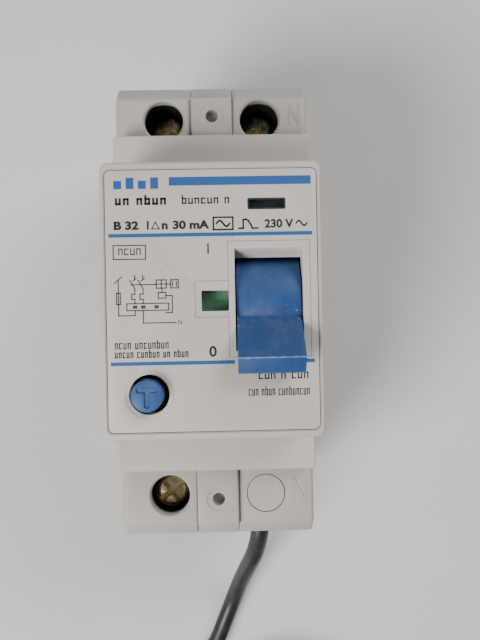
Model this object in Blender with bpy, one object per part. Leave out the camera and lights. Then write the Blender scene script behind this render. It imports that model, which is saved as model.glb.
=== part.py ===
"""Two-module residual current circuit breaker for a 35 mm rail, lying on its back.

+Z points out of the front face, +Y towards the end with two terminal screws and
+X to the right.  The origin is under the middle of the device.  Sizes below are in
millimetres and are turned into metres where a mesh is made.
"""
import bmesh
import bpy
from math import cos, pi, radians, sin
from mathutils import Matrix, Vector

MM = 0.001
GAP = 0.3

# Case envelope
HALF_WIDTH = 17.7
HALF_LENGTH = 42.1
RAIL_Y = 1.25
RAIL_PLANE = 5.5
FLOOR_TOP = 7.0
SHOULDER = 45.5
BAND_TOP = 49.0
FRONT = 61.5
PAD_TOP = 46.4
BAND_HALF = 30.15
NOSE_HALF = 22.14
WALL = 1.5
PAD_HALF = 3.8
SEAM_X = PAD_HALF + GAP
SHOULDER_TOP_END = 39.2
SHOULDER_LOW_END = -39.6

# Front plate and its openings
PLATE_HALF_X = 16.9
PLATE_HALF_Y = 20.9
PLATE_TOP = 61.3
PLATE_BACK = 59.9
DECK_TOP = 59.6
DECK_BACK = 58.2
SLOT_X = (3.6, 14.5)
SLOT_HALF_FRONT = 8.24
SLOT_HALF_DEEP = 6.75
SLOT_DEEP = 57.7
STATUS_AT = (0.38, 1.16)
STATUS_SIZE = (4.3, 3.3)
TRIP_AT = (8.87, 16.52)
TRIP_SIZE = (6.1, 1.85)
BUTTON_AT = (-10.3, -13.6)
BUTTON_R = 2.7
BUTTON_HOLE_R = 3.25

# Handle
AXLE_Y = RAIL_Y
AXLE_Z = 52.3
AXLE_R = 1.5
HUB_R = 8.3
HANDLE_X = (3.85, 14.25)

# Terminals: name, X, Y, end side, top of the screw head
TERMINALS = (
    ("line_in", -8.85, 35.2, 1, 38.0),
    ("neutral_in", 8.85, 35.2, 1, 38.0),
    ("line_out", -8.85, -34.1, -1, 42.5),
)
BLANK_AT = (8.85, -34.1)
FUNNEL_R = 3.6
FUNNEL_OUT_R = 4.55
HEAD_R = 3.3
HEAD_THICK = 2.4
SHANK_R = 2.5
SHANK_LENGTH = 11.0
CAGE_LOW = 13.5
CAGE_HIGH = 31.5
CAGE_HALF_X = 4.4
CAGE_HALF_Y = 3.8
CAGE_WALL = 1.2
PAD_THICK = 1.5
ENTRY_HALF_X = 4.0
ENTRY_Z = (17.0, 27.0)

# Line pole, in the left compartment
POLE_X = -10.2
COIL_Z = 36.0
COIL_Y = (12.5, 23.3)
ARM_PIVOT = (-4.0, 36.0)
ARM_LENGTH = 15.0
NEUTRAL_X = 9.0

# Free lead
LEAD_R = 2.0
LEAD_Z = 23.0
LEAD_X = 8.85
COIL_RADIUS = 21.5
COIL_CENTRE = (10.2, -114.0)
COIL_HALF_BAND = 6.3
COIL_HEIGHT = 7.8
FERRULE_Z = 2.35

COLOURS = {
    "case_plastic": ((0.55, 0.52, 0.49), 0.55, 0.0),
    "front_plastic": ((0.60, 0.57, 0.53), 0.5, 0.0),
    "blue_plastic": ((0.05, 0.17, 0.42), 0.45, 0.0),
    "green_plastic": ((0.08, 0.25, 0.12), 0.5, 0.0),
    "dark_plastic": ((0.02, 0.03, 0.035), 0.5, 0.0),
    "clear_plastic": ((0.7, 0.75, 0.75), 0.1, 0.0),
    "brown_insulation": ((0.16, 0.08, 0.05), 0.6, 0.0),
    "zinc_steel": ((0.55, 0.5, 0.36), 0.35, 1.0),
    "steel": ((0.5, 0.5, 0.52), 0.35, 1.0),
    "copper": ((0.7, 0.33, 0.2), 0.35, 1.0),
    "board_green": ((0.03, 0.18, 0.08), 0.4, 0.0),
    "black_pvc": ((0.012, 0.012, 0.013), 0.5, 0.0),
}


def clear_scene():
    """Empty the scene that the script starts in."""
    for old in list(bpy.data.objects):
        bpy.data.objects.remove(old, do_unlink=True)


def material(name):
    """The Principled material of one finish."""
    found = bpy.data.materials.get(name)
    if found:
        return found
    colour, rough, metal = COLOURS[name]
    made = bpy.data.materials.new(name)
    made.use_nodes = True
    shader = made.node_tree.nodes["Principled BSDF"]
    shader.inputs["Base Color"].default_value = (*colour, 1.0)
    shader.inputs["Roughness"].default_value = rough
    shader.inputs["Metallic"].default_value = metal
    return made


def add_object(name, bm, finish=None, pivot=(0.0, 0.0, 0.0)):
    """Turn a bmesh drawn in millimetres into an object whose origin is at pivot."""
    bmesh.ops.translate(bm, verts=bm.verts, vec=-Vector(pivot))
    bmesh.ops.scale(bm, verts=bm.verts, vec=(MM, MM, MM))
    bmesh.ops.recalc_face_normals(bm, faces=bm.faces)
    mesh = bpy.data.meshes.new(name)
    bm.to_mesh(mesh)
    bm.free()
    obj = bpy.data.objects.new(name, mesh)
    obj.location = Vector(pivot) * MM
    bpy.context.scene.collection.objects.link(obj)
    if finish:
        mesh.materials.append(material(finish))
    return obj


def box(lo, hi):
    """A bmesh box between two corners."""
    bm = bmesh.new()
    bmesh.ops.create_cube(bm, size=1.0)
    size = [h - l for l, h in zip(lo, hi)]
    middle = [(h + l) / 2 for l, h in zip(lo, hi)]
    bmesh.ops.scale(bm, verts=bm.verts, vec=size)
    bmesh.ops.translate(bm, verts=bm.verts, vec=middle)
    return bm


def prism(outline, lo, hi, axis="X"):
    """Extrude an outline from lo to hi: (Y, Z) points along X, (X, Z) along Y or (X, Y) along Z."""
    place = {
        "X": lambda a, b, h: (h, a, b),
        "Y": lambda a, b, h: (a, h, b),
        "Z": lambda a, b, h: (a, b, h),
    }[axis]
    bm = bmesh.new()
    low = [bm.verts.new(place(a, b, lo)) for a, b in outline]
    high = [bm.verts.new(place(a, b, hi)) for a, b in outline]
    bm.faces.new(low)
    bm.faces.new(list(reversed(high)))
    count = len(outline)
    for i in range(count):
        j = (i + 1) % count
        bm.faces.new((low[i], high[i], high[j], low[j]))
    return bm


def turned(profile, centre, axis="Z", sides=24):
    """Turn a closed (radius, height) profile about an axis through centre."""
    bm = bmesh.new()
    rings = []
    for radius, height in profile:
        if radius == 0.0:
            rings.append([bm.verts.new((0.0, 0.0, height))])
            continue
        steps = [2 * pi * k / sides for k in range(sides)]
        rings.append([bm.verts.new((radius * cos(t), radius * sin(t), height)) for t in steps])
    for a, b in zip(rings, rings[1:] + rings[:1]):
        if len(a) == 1 and len(b) == 1:
            continue
        for k in range(sides):
            n = (k + 1) % sides
            corners = [a[k % len(a)], a[n % len(a)], b[n % len(b)], b[k % len(b)]]
            bm.faces.new(list(dict.fromkeys(corners)))
    turn = {"X": Matrix.Rotation(pi / 2, 4, "Y"), "Y": Matrix.Rotation(-pi / 2, 4, "X")}
    if axis in turn:
        bmesh.ops.transform(bm, matrix=turn[axis], verts=bm.verts)
    bmesh.ops.translate(bm, verts=bm.verts, vec=centre)
    return bm


def rod(centre, radius, lo, hi, axis="Z", sides=16):
    """A plain cylinder along an axis, from lo to hi measured from centre."""
    return turned([(0.0, lo), (radius, lo), (radius, hi), (0.0, hi)], centre, axis, sides)


def washer(centre, inner, outer, lo, hi, axis="Z", sides=20):
    """A flat ring along an axis."""
    return turned([(inner, lo), (outer, lo), (outer, hi), (inner, hi)], centre, axis, sides)


def rounded(half_x, half_y, radius, middle=(0.0, 0.0), steps=3):
    """A rectangle outline with rounded corners."""
    points = []
    for quarter, (sx, sy) in enumerate(((1, 1), (-1, 1), (-1, -1), (1, -1))):
        cx = middle[0] + sx * (half_x - radius)
        cy = middle[1] + sy * (half_y - radius)
        for k in range(steps + 1):
            t = (quarter + k / steps) * pi / 2
            points.append((cx + radius * cos(t), cy + radius * sin(t)))
    return points


def helix(centre, radius, wire, lo, hi, turns, name, finish, axis="Z"):
    """A coil spring as a round wire along a helix."""
    count = int(turns * 12)
    points = []
    for k in range(count + 1):
        t = 2 * pi * turns * k / count
        along = lo + (hi - lo) * k / count
        across = (radius * cos(t), radius * sin(t))
        local = {
            "Z": (across[0], across[1], along),
            "Y": (across[0], along, across[1]),
            "X": (along, across[0], across[1]),
        }[axis]
        points.append([c + p for c, p in zip(centre, local)])
    return tube(name, points, wire, finish, 1)


def tube(name, points, radius, finish, resolution):
    """A round wire or cord along a list of points in millimetres."""
    curve = bpy.data.curves.new(name, "CURVE")
    curve.dimensions = "3D"
    curve.bevel_depth = radius * MM
    curve.bevel_resolution = resolution
    curve.use_fill_caps = True
    spline = curve.splines.new("POLY")
    spline.points.add(len(points) - 1)
    for spot, point in zip(spline.points, points):
        spot.co = (*(c * MM for c in point), 1.0)
    curve.materials.append(material(finish))
    obj = bpy.data.objects.new(name, curve)
    bpy.context.scene.collection.objects.link(obj)
    return obj


def combine(obj, bm, operation):
    """Cut a shape from an object, or join it on, with an exact Boolean."""
    tool = add_object(obj.name + ".tool", bm)
    tool.hide_render = True
    tool.display_type = "WIRE"
    modifier = obj.modifiers.new(operation.title(), "BOOLEAN")
    modifier.operation = operation
    modifier.solver = "EXACT"
    modifier.object = tool


def cut(obj, bm):
    """Cut a shape away."""
    combine(obj, bm, "DIFFERENCE")


def join(obj, bm):
    """Join a shape on."""
    combine(obj, bm, "UNION")


def case_outline(inset, top):
    """Side view of the case, as (Y, Z) points, with the rail recess left out."""
    end = HALF_LENGTH - inset
    low = inset
    return [
        (-end + 3.5, low),
        (end - 3.5, low),
        (end, low + 6.5),
        (end, top - (HALF_LENGTH - SHOULDER_TOP_END) - inset * 0.4),
        (SHOULDER_TOP_END - inset * 0.4, top - inset),
        (SHOULDER_LOW_END + inset * 0.4, top - inset),
        (-end, top - (HALF_LENGTH + SHOULDER_LOW_END) - inset * 0.4),
        (-end, low + 6.5),
    ]


def case_room():
    """Side view of the room inside the case, open at the top under the front cover."""
    end = HALF_LENGTH - WALL
    roof = SHOULDER - WALL
    high_y = RAIL_Y + BAND_HALF - WALL
    low_y = RAIL_Y - BAND_HALF + WALL
    return [
        (-end, FLOOR_TOP),
        (end, FLOOR_TOP),
        (end, roof - 2.4),
        (end - 2.4, roof),
        (high_y, roof),
        (high_y, SHOULDER + 3.0),
        (low_y, SHOULDER + 3.0),
        (low_y, roof),
        (-end + 2.0, roof),
        (-end, roof - 2.0),
    ]


def rail_recess():
    """Side view of the 35 mm rail recess: a fixed hook at +Y, open for the clip at -Y."""
    return [
        (RAIL_Y - 18.3, -1.0),
        (RAIL_Y + 16.2, -1.0),
        (RAIL_Y + 16.2, 4.0),
        (RAIL_Y + 18.1, 4.0),
        (RAIL_Y + 18.1, RAIL_PLANE + 0.15),
        (RAIL_Y + 16.0, RAIL_PLANE + 0.15),
        (RAIL_Y + 16.0, RAIL_PLANE),
        (RAIL_Y - 18.3, RAIL_PLANE),
    ]


def clip_channel():
    """End view of the T-shaped channel that the rail clip slides in."""
    return [(-5.0, -1.0), (5.0, -1.0), (5.0, 2.2), (6.5, 2.2), (6.5, 4.6), (-6.5, 4.6), (-6.5, 2.2), (-5.0, 2.2)]


RIVET_PLACES = ((27.5, 40.5), (-25.5, 40.5), (27.5, 9.5), (-25.5, 9.5))


def cut_back(obj):
    """Cut the rail recess and the clip channel from a case shell."""
    cut(obj, prism(rail_recess(), -HALF_WIDTH - 1, HALF_WIDTH + 1))
    cut(obj, prism(clip_channel(), -HALF_LENGTH - 1, RAIL_Y - 15.0, "Y"))


def case_half(name, side):
    """One outer shell, open towards the partition.

    The right one also has the blanked screw hole and the outlet of the lead.
    """
    outer = sorted((side * SEAM_X, side * HALF_WIDTH))
    shell = add_object(name, prism(case_outline(0.0, SHOULDER), *outer), "case_plastic")
    inner = sorted((side * (SEAM_X - 2.0), side * (HALF_WIDTH - WALL)))
    cut(shell, prism(case_room(), *inner))
    cut_back(shell)
    for y, z in RIVET_PLACES:
        well = [(0, 5.0), (1.6, 5.0), (1.6, 16.8), (2.6, 16.8), (2.6, 19.0), (0, 19.0)]
        cut(shell, turned([(r, side * h) for r, h in well], (0, y, z), "X", 12))
    here = [row for row in TERMINALS if row[1] * side > 0]
    for _, x, _, end, _ in here:
        low, high = sorted((end * (HALF_LENGTH - 2.5), end * (HALF_LENGTH + 1)))
        entry = ((x - ENTRY_HALF_X, low, ENTRY_Z[0]), (x + ENTRY_HALF_X, high, ENTRY_Z[1]))
        cut(shell, box(*entry))
    if side > 0:
        cut(shell, rod((*BLANK_AT, 0), 3.75, 42.0, 47.0, sides=20))
        cut(shell, rod((LEAD_X, 0, LEAD_Z), 3.5, -43.0, -39.0, "Y", 16))
    for _, x, y, _, _ in here:
        cut(shell, rod((x, y, 0), FUNNEL_R + 0.5, 43.0, 47.0, sides=20))
    for _, x, y, _, _ in here:
        join(shell, washer((x, y, 0), FUNNEL_R, FUNNEL_OUT_R, 38.5, SHOULDER - 0.2))


def middle_partition():
    """The middle case part: a thin wall with a rim whose ends are the raised pads."""
    outline = case_outline(0.0, SHOULDER)
    part = add_object("middle_partition", prism(outline, -PAD_HALF, PAD_HALF), "case_plastic")
    for start, end, tip in ((RAIL_Y + BAND_HALF + GAP, SHOULDER_TOP_END, HALF_LENGTH),
                            (RAIL_Y - BAND_HALF - GAP, SHOULDER_LOW_END, -HALF_LENGTH)):
        drop = abs(tip - end)
        pad = [(start, 44.6), (start, PAD_TOP), (end, PAD_TOP), (tip, PAD_TOP - drop), (tip, 41.0), (end, 44.6)]
        join(part, prism(pad, -PAD_HALF, PAD_HALF))
    cut(part, prism(case_room(), -PAD_HALF + 1.3, PAD_HALF + 1))
    cut(part, box((-PAD_HALF - 1, -BAND_HALF + RAIL_Y - 0.1, SHOULDER - 0.6),
                  (PAD_HALF + 1, BAND_HALF + RAIL_Y + 0.1, SHOULDER + 3)))
    cut_back(part)
    for y in (35.65, -34.8):
        cut(part, rod((0.1, y, 0), 1.2, 44.9, 48.0, sides=12))
    for y, z in RIVET_PLACES:
        cut(part, rod((0, y, z), 1.6, -6.0, 6.0, "X", 12))


def case_rivets():
    """Four through rivets that hold the shells together."""
    for number, (y, z) in enumerate(RIVET_PLACES, 1):
        head = HALF_WIDTH - 0.1
        neck = HALF_WIDTH - 0.6
        profile = [(0, -head), (2.1, -head), (2.1, -neck), (1.25, -neck),
                   (1.25, neck), (2.1, neck), (2.1, head), (0, head)]
        add_object(f"case_rivet_{number}", turned(profile, (0, y, z), "X", 10), "steel")


def slot_cutter(lo, hi):
    """The handle slot with its sloping end walls, cut from lo to hi."""
    slope = (SLOT_HALF_FRONT - SLOT_HALF_DEEP) / (FRONT - SLOT_DEEP)
    low_half = SLOT_HALF_DEEP + (lo - SLOT_DEEP) * slope
    high_half = SLOT_HALF_DEEP + (hi - SLOT_DEEP) * slope
    points = [(RAIL_Y - low_half, lo), (RAIL_Y + low_half, lo), (RAIL_Y + high_half, hi), (RAIL_Y - high_half, hi)]
    return prism(points, *SLOT_X)


def window_box(place, size, lo, hi, margin=0.0):
    """A box over a window, as wide as the window and its margin."""
    half = [s / 2 + margin for s in size]
    return box((place[0] - half[0], place[1] - half[1], lo), (place[0] + half[0], place[1] + half[1], hi))


def front_cover():
    """The raised nose and the band around it, one moulding, hollow behind its deck."""
    band = rounded(HALF_WIDTH, BAND_HALF, 0.6, (0.0, RAIL_Y))
    cover = add_object("front_cover", prism(band, SHOULDER + GAP, BAND_TOP, "Z"), "front_plastic")
    nose = rounded(HALF_WIDTH - 0.02, NOSE_HALF, 1.6, (0.0, RAIL_Y))
    join(cover, prism(nose, BAND_TOP - 1.5, FRONT, "Z"))
    recess = rounded(PLATE_HALF_X + GAP / 2, PLATE_HALF_Y + GAP / 2, 1.0, (0.0, RAIL_Y))
    cut(cover, prism(recess, DECK_TOP, FRONT + 1, "Z"))
    cut(cover, prism(rounded(HALF_WIDTH - WALL, NOSE_HALF - WALL, 0.6, (0.0, RAIL_Y)), 44.0, DECK_BACK, "Z"))
    cut(cover, prism(rounded(HALF_WIDTH - WALL, BAND_HALF - WALL, 0.6, (0.0, RAIL_Y)), 44.0, BAND_TOP - WALL, "Z"))
    cut(cover, slot_cutter(DECK_BACK - 0.5, DECK_TOP + 0.5))
    cut(cover, window_box(STATUS_AT, STATUS_SIZE, 57.0, 59.0))
    cut(cover, window_box(STATUS_AT, STATUS_SIZE, 58.8, 61.0, 0.7))
    cut(cover, window_box(TRIP_AT, TRIP_SIZE, 57.0, 59.0))
    cut(cover, window_box(TRIP_AT, TRIP_SIZE, 58.8, 61.0, 0.7))
    cut(cover, rod((*BUTTON_AT, 0), BUTTON_HOLE_R, 57.0, 61.0, sides=20))
    for lo in (-4.3, 14.7):
        lug = box((lo, AXLE_Y - 2.6, 49.6), (lo + 1.1, AXLE_Y + 2.6, DECK_BACK + 0.4))
        join(cover, lug)
        cut(cover, rod((0, AXLE_Y, AXLE_Z), AXLE_R + GAP, lo - 1, lo + 2, "X", 16))


def front_plate():
    """The printed plate inside the nose's rim."""
    outline = rounded(PLATE_HALF_X - GAP / 2, PLATE_HALF_Y - GAP / 2, 0.9, (0.0, RAIL_Y))
    plate = add_object("front_plate", prism(outline, PLATE_BACK, PLATE_TOP, "Z"), "front_plastic")
    cut(plate, slot_cutter(PLATE_BACK - 0.3, PLATE_TOP + 0.3))
    cut(plate, window_box(STATUS_AT, STATUS_SIZE, 59.0, 62.0))
    cut(plate, window_box(TRIP_AT, TRIP_SIZE, 59.0, 62.0))
    cut(plate, rod((*BUTTON_AT, 0), BUTTON_HOLE_R, 59.0, 62.0, sides=20))


def windows():
    """The two clear panes under the plate."""
    add_object("status_window", window_box(STATUS_AT, STATUS_SIZE, 59.1, DECK_TOP, 0.4), "clear_plastic")
    add_object("trip_window", window_box(TRIP_AT, TRIP_SIZE, 59.1, DECK_TOP, 0.4), "clear_plastic")


def arc(radius, start, stop, steps, centre=(AXLE_Y, AXLE_Z)):
    """Points along an arc in the side view, angles in degrees from +Y towards +Z."""
    angles = [radians(start + (stop - start) * k / steps) for k in range(steps + 1)]
    return [(centre[0] + radius * cos(t), centre[1] + radius * sin(t)) for t in angles]


def toggle_handle():
    """A round hub with the lever resting towards -Y, in the off position."""
    lever = [(RAIL_Y - 5.9, 58.2), (RAIL_Y - 7.6, 61.6), (RAIL_Y - 11.6, 64.4),
             (RAIL_Y - 11.3, 65.0), (RAIL_Y - 8.95, 66.3)]
    outline = lever + list(reversed(arc(HUB_R, 135.0 - 360.0, 108.2, 30)))
    pivot = (0.0, AXLE_Y, AXLE_Z)
    handle = add_object("toggle_handle", prism(outline, *HANDLE_X), "blue_plastic", pivot)
    cut(handle, rod((0, AXLE_Y, AXLE_Z), AXLE_R + GAP, 3.0, 15.0, "X", 16))
    cut(handle, rod((0, *crank_pin()), 1.1, 3.0, 6.6, "X", 12))


def crank_pin():
    """Where the link hooks into the hub, off position."""
    return arc(5.5, -57.0, -57.0, 1)[0]


def handle_parts():
    """Axle, return spring and the link down to the contacts."""
    add_object("handle_axle", rod((0, AXLE_Y, AXLE_Z), AXLE_R, -4.0, 15.6, "X", 16), "steel")
    helix((0, AXLE_Y, AXLE_Z), 2.4, 0.3, -1.2, 2.0, 4, "handle_spring", "steel", "X")
    pin = crank_pin()
    foot = (RAIL_Y, 37.0)
    along = Vector((foot[0] - pin[0], foot[1] - pin[1])).normalized()
    side = Vector((-along[1], along[0])) * 1.0
    bar = [(pin[0] + side[0], pin[1] + side[1]), (foot[0] + side[0], foot[1] + side[1]),
           (foot[0] - side[0], foot[1] - side[1]), (pin[0] - side[0], pin[1] - side[1])]
    link = add_object("handle_link", prism(bar, 2.4, 3.4), "steel", (0, *pin))
    join(link, rod((0, *pin), 0.8, 3.0, 6.2, "X", 12))
    join(link, rod((0, *pin), 1.2, 2.4, 3.4, "X", 12))


def flags():
    """The status flag turns about the handle's axle, and the trip flag slides."""
    rim = arc(5.6, 66.0, 153.0, 8) + list(reversed(arc(4.6, 66.0, 153.0, 8)))
    flag = add_object("status_flag", prism(rim, -2.9, 2.9), "green_plastic", (0, AXLE_Y, AXLE_Z))
    join(flag, prism(arc(5.5, 66.0, 153.0, 8) + [(AXLE_Y, AXLE_Z)], -2.9, -1.9))
    join(flag, rod((0, AXLE_Y, AXLE_Z), 2.6, -2.9, -1.9, "X", 16))
    cut(flag, rod((0, AXLE_Y, AXLE_Z), AXLE_R + GAP, -4.0, 0.0, "X", 16))
    slide = add_object("trip_flag", box((5.0, 15.2, 57.1), (12.8, 20.2, 57.9)), "dark_plastic")
    join(slide, box((8.0, 19.0, 52.0), (9.6, 20.2, 57.5)))


def test_button():
    """The round button with its stem, its spring and the leaf that it presses."""
    head = [(0, 50.6), (0.9, 50.6), (0.9, 57.4), (BUTTON_R, 57.4), (BUTTON_R, 62.7), (BUTTON_R - 0.3, 63.0), (0, 63.0)]
    add_object("test_button", turned(head, (*BUTTON_AT, 0), "Z", 24), "blue_plastic", (*BUTTON_AT, 0))
    helix((*BUTTON_AT, 0), 1.6, 0.25, 49.5, 56.8, 4, "test_button_spring", "steel")
    blade = box((BUTTON_AT[0] - 2.5, BUTTON_AT[1] - 1.5, 47.2), (-2.0, BUTTON_AT[1] + 1.5, 47.7))
    add_object("test_contact_blade", blade, "copper")


def terminal(label, x, y, end, head_top):
    """Screw, pressure pad, cage and bar of one terminal."""
    under = head_top - HEAD_THICK
    tip = under - SHANK_LENGTH
    profile = [(0, tip), (SHANK_R, tip), (SHANK_R, under), (HEAD_R, under),
               (HEAD_R, head_top - 0.5), (HEAD_R - 0.5, head_top), (0, head_top)]
    screw = add_object(f"terminal_screw_{label}", turned(profile, (x, y, 0)), "zinc_steel", (x, y, 0))
    cut(screw, box((x - 4, y - 0.5, head_top - 1.2), (x + 4, y + 0.5, head_top + 1)))
    cut(screw, box((x - 0.5, y - 1.9, head_top - 1.3), (x + 0.5, y + 1.9, head_top + 1)))
    pad_top = tip - GAP
    pad = box((x - 2.9, y - 3.2, pad_top - PAD_THICK), (x + 2.9, y + 3.2, pad_top))
    add_object(f"terminal_pad_{label}", pad, "zinc_steel")
    low = (x - CAGE_HALF_X, y - CAGE_HALF_Y, CAGE_LOW)
    high = (x + CAGE_HALF_X, y + CAGE_HALF_Y, CAGE_HIGH)
    cage = add_object(f"terminal_cage_{label}", box(low, high), "zinc_steel")
    room_x = CAGE_HALF_X - CAGE_WALL
    cut(cage, box((x - room_x, y - 6, CAGE_LOW + 1.5), (x + room_x, y + 6, CAGE_HIGH - 2.0)))
    cut(cage, rod((x, y, 0), SHANK_R + GAP, 28.0, 33.0, sides=24))
    far, near = y + end * (CAGE_HALF_Y - 0.4), y - end * 9.0
    bar_lo, bar_hi = sorted((far, near))
    add_object(f"terminal_bar_{label}", box((x - 2.9, bar_lo, 15.3), (x + 2.9, bar_hi, 16.8)), "copper")


def line_pole():
    """Coil, yoke, plunger, contacts, arc chute, bimetal and trip lever."""
    ribs = [(2.6, COIL_Y[0])]
    turns = 6
    step = (COIL_Y[1] - COIL_Y[0]) / turns
    for k in range(turns):
        start = COIL_Y[0] + k * step
        ribs += [(4.2, start), (4.7, start + step * 0.5), (4.2, start + step * 0.98)]
    ribs += [(2.6, COIL_Y[1])]
    add_object("trip_coil", turned(ribs, (POLE_X, 0, COIL_Z), "Y", 16), "copper")
    yoke = [(11.0, 29.4), (24.9, 29.4), (24.9, 40.4), (23.7, 40.4), (23.7, 30.6), (12.2, 30.6), (12.2, 40.4), (11.0, 40.4)]
    frame = add_object("coil_yoke", prism(yoke, POLE_X - 4.6, POLE_X + 4.6), "steel")
    cut(frame, rod((POLE_X, 0, COIL_Z), 2.4, 10.0, 12.6, "Y", 12))
    plunger = rod((POLE_X, 0, COIL_Z), 2.0, 8.2, 19.0, "Y", 16)
    add_object("coil_plunger", plunger, "steel")
    helix((POLE_X, 0, COIL_Z), 1.7, 0.25, 19.6, 23.2, 3, "plunger_spring", "steel", "Y")
    add_object("fixed_contact_line", box((POLE_X - 2.5, 1.6, 19.0), (POLE_X + 2.5, 3.2, 27.5)), "copper")
    contact_arm("moving_contact_line", POLE_X)
    cheeks = box((POLE_X - 5.5, 4.6, 9.2), (POLE_X + 5.5, 24.4, 24.6))
    chute = add_object("arc_chute_frame", cheeks, "brown_insulation")
    cut(chute, box((POLE_X - 4.8, 3.0, 8.0), (POLE_X + 4.8, 23.6, 26.0)))
    for number in range(4):
        level = 10.5 + 3.4 * number
        plate = [(POLE_X - 4.4, 6.0), (POLE_X - 1.2, 6.0), (POLE_X, 10.0), (POLE_X + 1.2, 6.0),
                 (POLE_X + 4.4, 6.0), (POLE_X + 4.4, 23.0), (POLE_X - 4.4, 23.0)]
        add_object(f"arc_plate_{number + 1}", prism(plate, level, level + 1.0, "Z"), "steel")
    add_object("bimetal_strip", box((POLE_X - 3.0, -17.6, 12.0), (POLE_X + 3.0, -16.8, 38.0)), "steel")
    screw = turned([(0, -23.0), (2.0, -23.0), (2.0, -21.6), (1.2, -21.6), (1.2, -18.0), (0, -18.0)],
                   (POLE_X, 0, 14.5), "Y", 12)
    add_object("calibration_screw", screw, "zinc_steel")
    lever = add_object("trip_lever", box((POLE_X - 1.5, 4.6, 31.0), (POLE_X + 1.5, 6.2, 43.0)),
                       "dark_plastic", (POLE_X, 5.4, 41.0))
    join(lever, rod((POLE_X, 5.4, 41.0), 2.0, -4.0, 4.0, "X", 12))
    helix((POLE_X, 5.4, 41.0), 2.6, 0.25, 4.4, 5.6, 2, "trip_lever_spring", "steel", "X")


def contact_arm(name, x):
    """A moving contact arm hanging from its pivot, open by its full travel."""
    y, z = ARM_PIVOT
    arm = add_object(name, box((x - 2.0, y - 1.2, z - ARM_LENGTH), (x + 2.0, y + 1.2, z)), "copper", (x, y, z))
    join(arm, rod((x, y, z), 2.4, -2.6, 2.6, "X", 14))
    join(arm, rod((x, 0, z - ARM_LENGTH + 2.0), 1.5, y + 1.0, y + 1.9, "Y", 12))


def neutral_pole():
    """Neutral contacts and the residual current parts, in the right compartment."""
    add_object("fixed_contact_neutral", box((NEUTRAL_X - 2.5, 1.6, 19.0), (NEUTRAL_X + 2.5, 3.2, 27.5)), "copper")
    contact_arm("moving_contact_neutral", NEUTRAL_X)
    add_object("sensing_toroid", washer((LEAD_X, 0, LEAD_Z), 4.2, 7.0, -22.5, -14.5, "Y"), "dark_plastic")
    add_object("trip_relay", box((4.2, 10.5, 10.0), (15.2, 24.0, 30.0)), "dark_plastic")
    add_object("relay_plunger", rod((9.7, 14.5, 0), 1.2, 30.3, 35.5, sides=12), "steel")
    add_object("circuit_board", box((-1.9, -22.5, 10.0), (-0.9, -4.0, 42.0)), "board_green")
    add_object("test_resistor", rod((0.7, 0, 37.5), 1.2, -18.0, -10.0, "Y", 12), "brown_insulation")


def din_clip():
    """The sliding rail clip with a bevelled nose and a pull tab."""
    lo, hi = -HALF_LENGTH + 0.1, RAIL_Y - 16.6
    clip = add_object("din_clip", box((-6.2, lo, 2.5), (6.2, hi - 1.2, 4.3)), "dark_plastic")
    nose = [(hi - 3.0, 2.5), (hi - 3.0, 0.6), (hi - 1.6, 0.6), (hi, 2.6), (hi, 3.8), (hi - 0.5, 4.3), (hi - 3.0, 4.3)]
    join(clip, prism(nose, -3.9, 3.9))
    join(clip, box((-4.7, lo, 0.5), (4.7, hi - 2.8, 2.7)))
    cut(clip, box((-2.6, lo + 1.8, 0.0), (2.6, lo + 3.4, 5.0)))


def small_case_parts():
    """The plug in the unused screw hole and the bush that the lead leaves through."""
    add_object("blanking_plug", rod((*BLANK_AT, 0), 3.45, 42.6, SHOULDER - 0.05, sides=20), "case_plastic")
    bush = [(2.3, -42.0), (3.2, -42.0), (3.2, -40.3), (4.2, -40.3), (4.2, -38.6), (2.3, -38.6)]
    add_object("lead_bush", turned(bush, (LEAD_X, 0, LEAD_Z), "Y", 16), "dark_plastic")


# The lead from inside its bush, down to the table and up to the side of its coil.
LEAD_ROUTE = (
    (8.85, -36.0, 23.0), (8.85, -42.1, 23.0), (8.85, -46.0, 22.9), (8.5, -50.3, 21.7), (7.5, -55.5, 18.4),
    (5.9, -61.3, 12.4), (4.2, -67.2, 6.6), (2.4, -73.0, 3.1), (0.2, -78.8, 2.1), (-2.3, -84.5, 2.2),
    (-5.2, -88.1, 2.8), (-9.5, -91.5, 3.8),
)


def smooth(points, per_span):
    """Points read from a Catmull-Rom curve through the route."""
    ends = [points[0]] + list(points) + [points[-1]]
    read = []
    for a, b, c, d in zip(ends, ends[1:], ends[2:], ends[3:]):
        for k in range(per_span):
            t = k / per_span
            read.append([
                0.5 * (2 * q + (r - p) * t + (2 * p - 5 * q + 4 * r - s) * t * t + (3 * q - p - 3 * r + s) * t ** 3)
                for p, q, r, s in zip(a, b, c, d)
            ])
    read.append(list(points[-1]))
    return read


def neutral_lead():
    """The flying lead, its stored coil and its crimped ferrule."""
    tube("neutral_lead", smooth(LEAD_ROUTE, 2), LEAD_R, "black_pvc", 2)
    inner, outer = COIL_RADIUS - COIL_HALF_BAND, COIL_RADIUS + COIL_HALF_BAND
    ring = [(inner, 0.02), (outer, 0.02), (outer, COIL_HEIGHT - 1.0),
            (outer - 1.0, COIL_HEIGHT), (inner + 1.0, COIL_HEIGHT), (inner, COIL_HEIGHT - 1.0)]
    add_object("neutral_lead_coil", turned(ring, (*COIL_CENTRE, 0), sides=32), "black_pvc")
    sleeve = [(0, 15.8), (2.3, 15.8), (2.3, 20.5), (1.5, 21.2), (1.5, 29.0), (0, 29.0)]
    tail_y = COIL_CENTRE[1] - COIL_RADIUS - COIL_HALF_BAND + 2.2
    add_object("neutral_lead_ferrule", turned(sleeve, (COIL_CENTRE[0], tail_y, FERRULE_Z), "X", 14), "zinc_steel")


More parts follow.
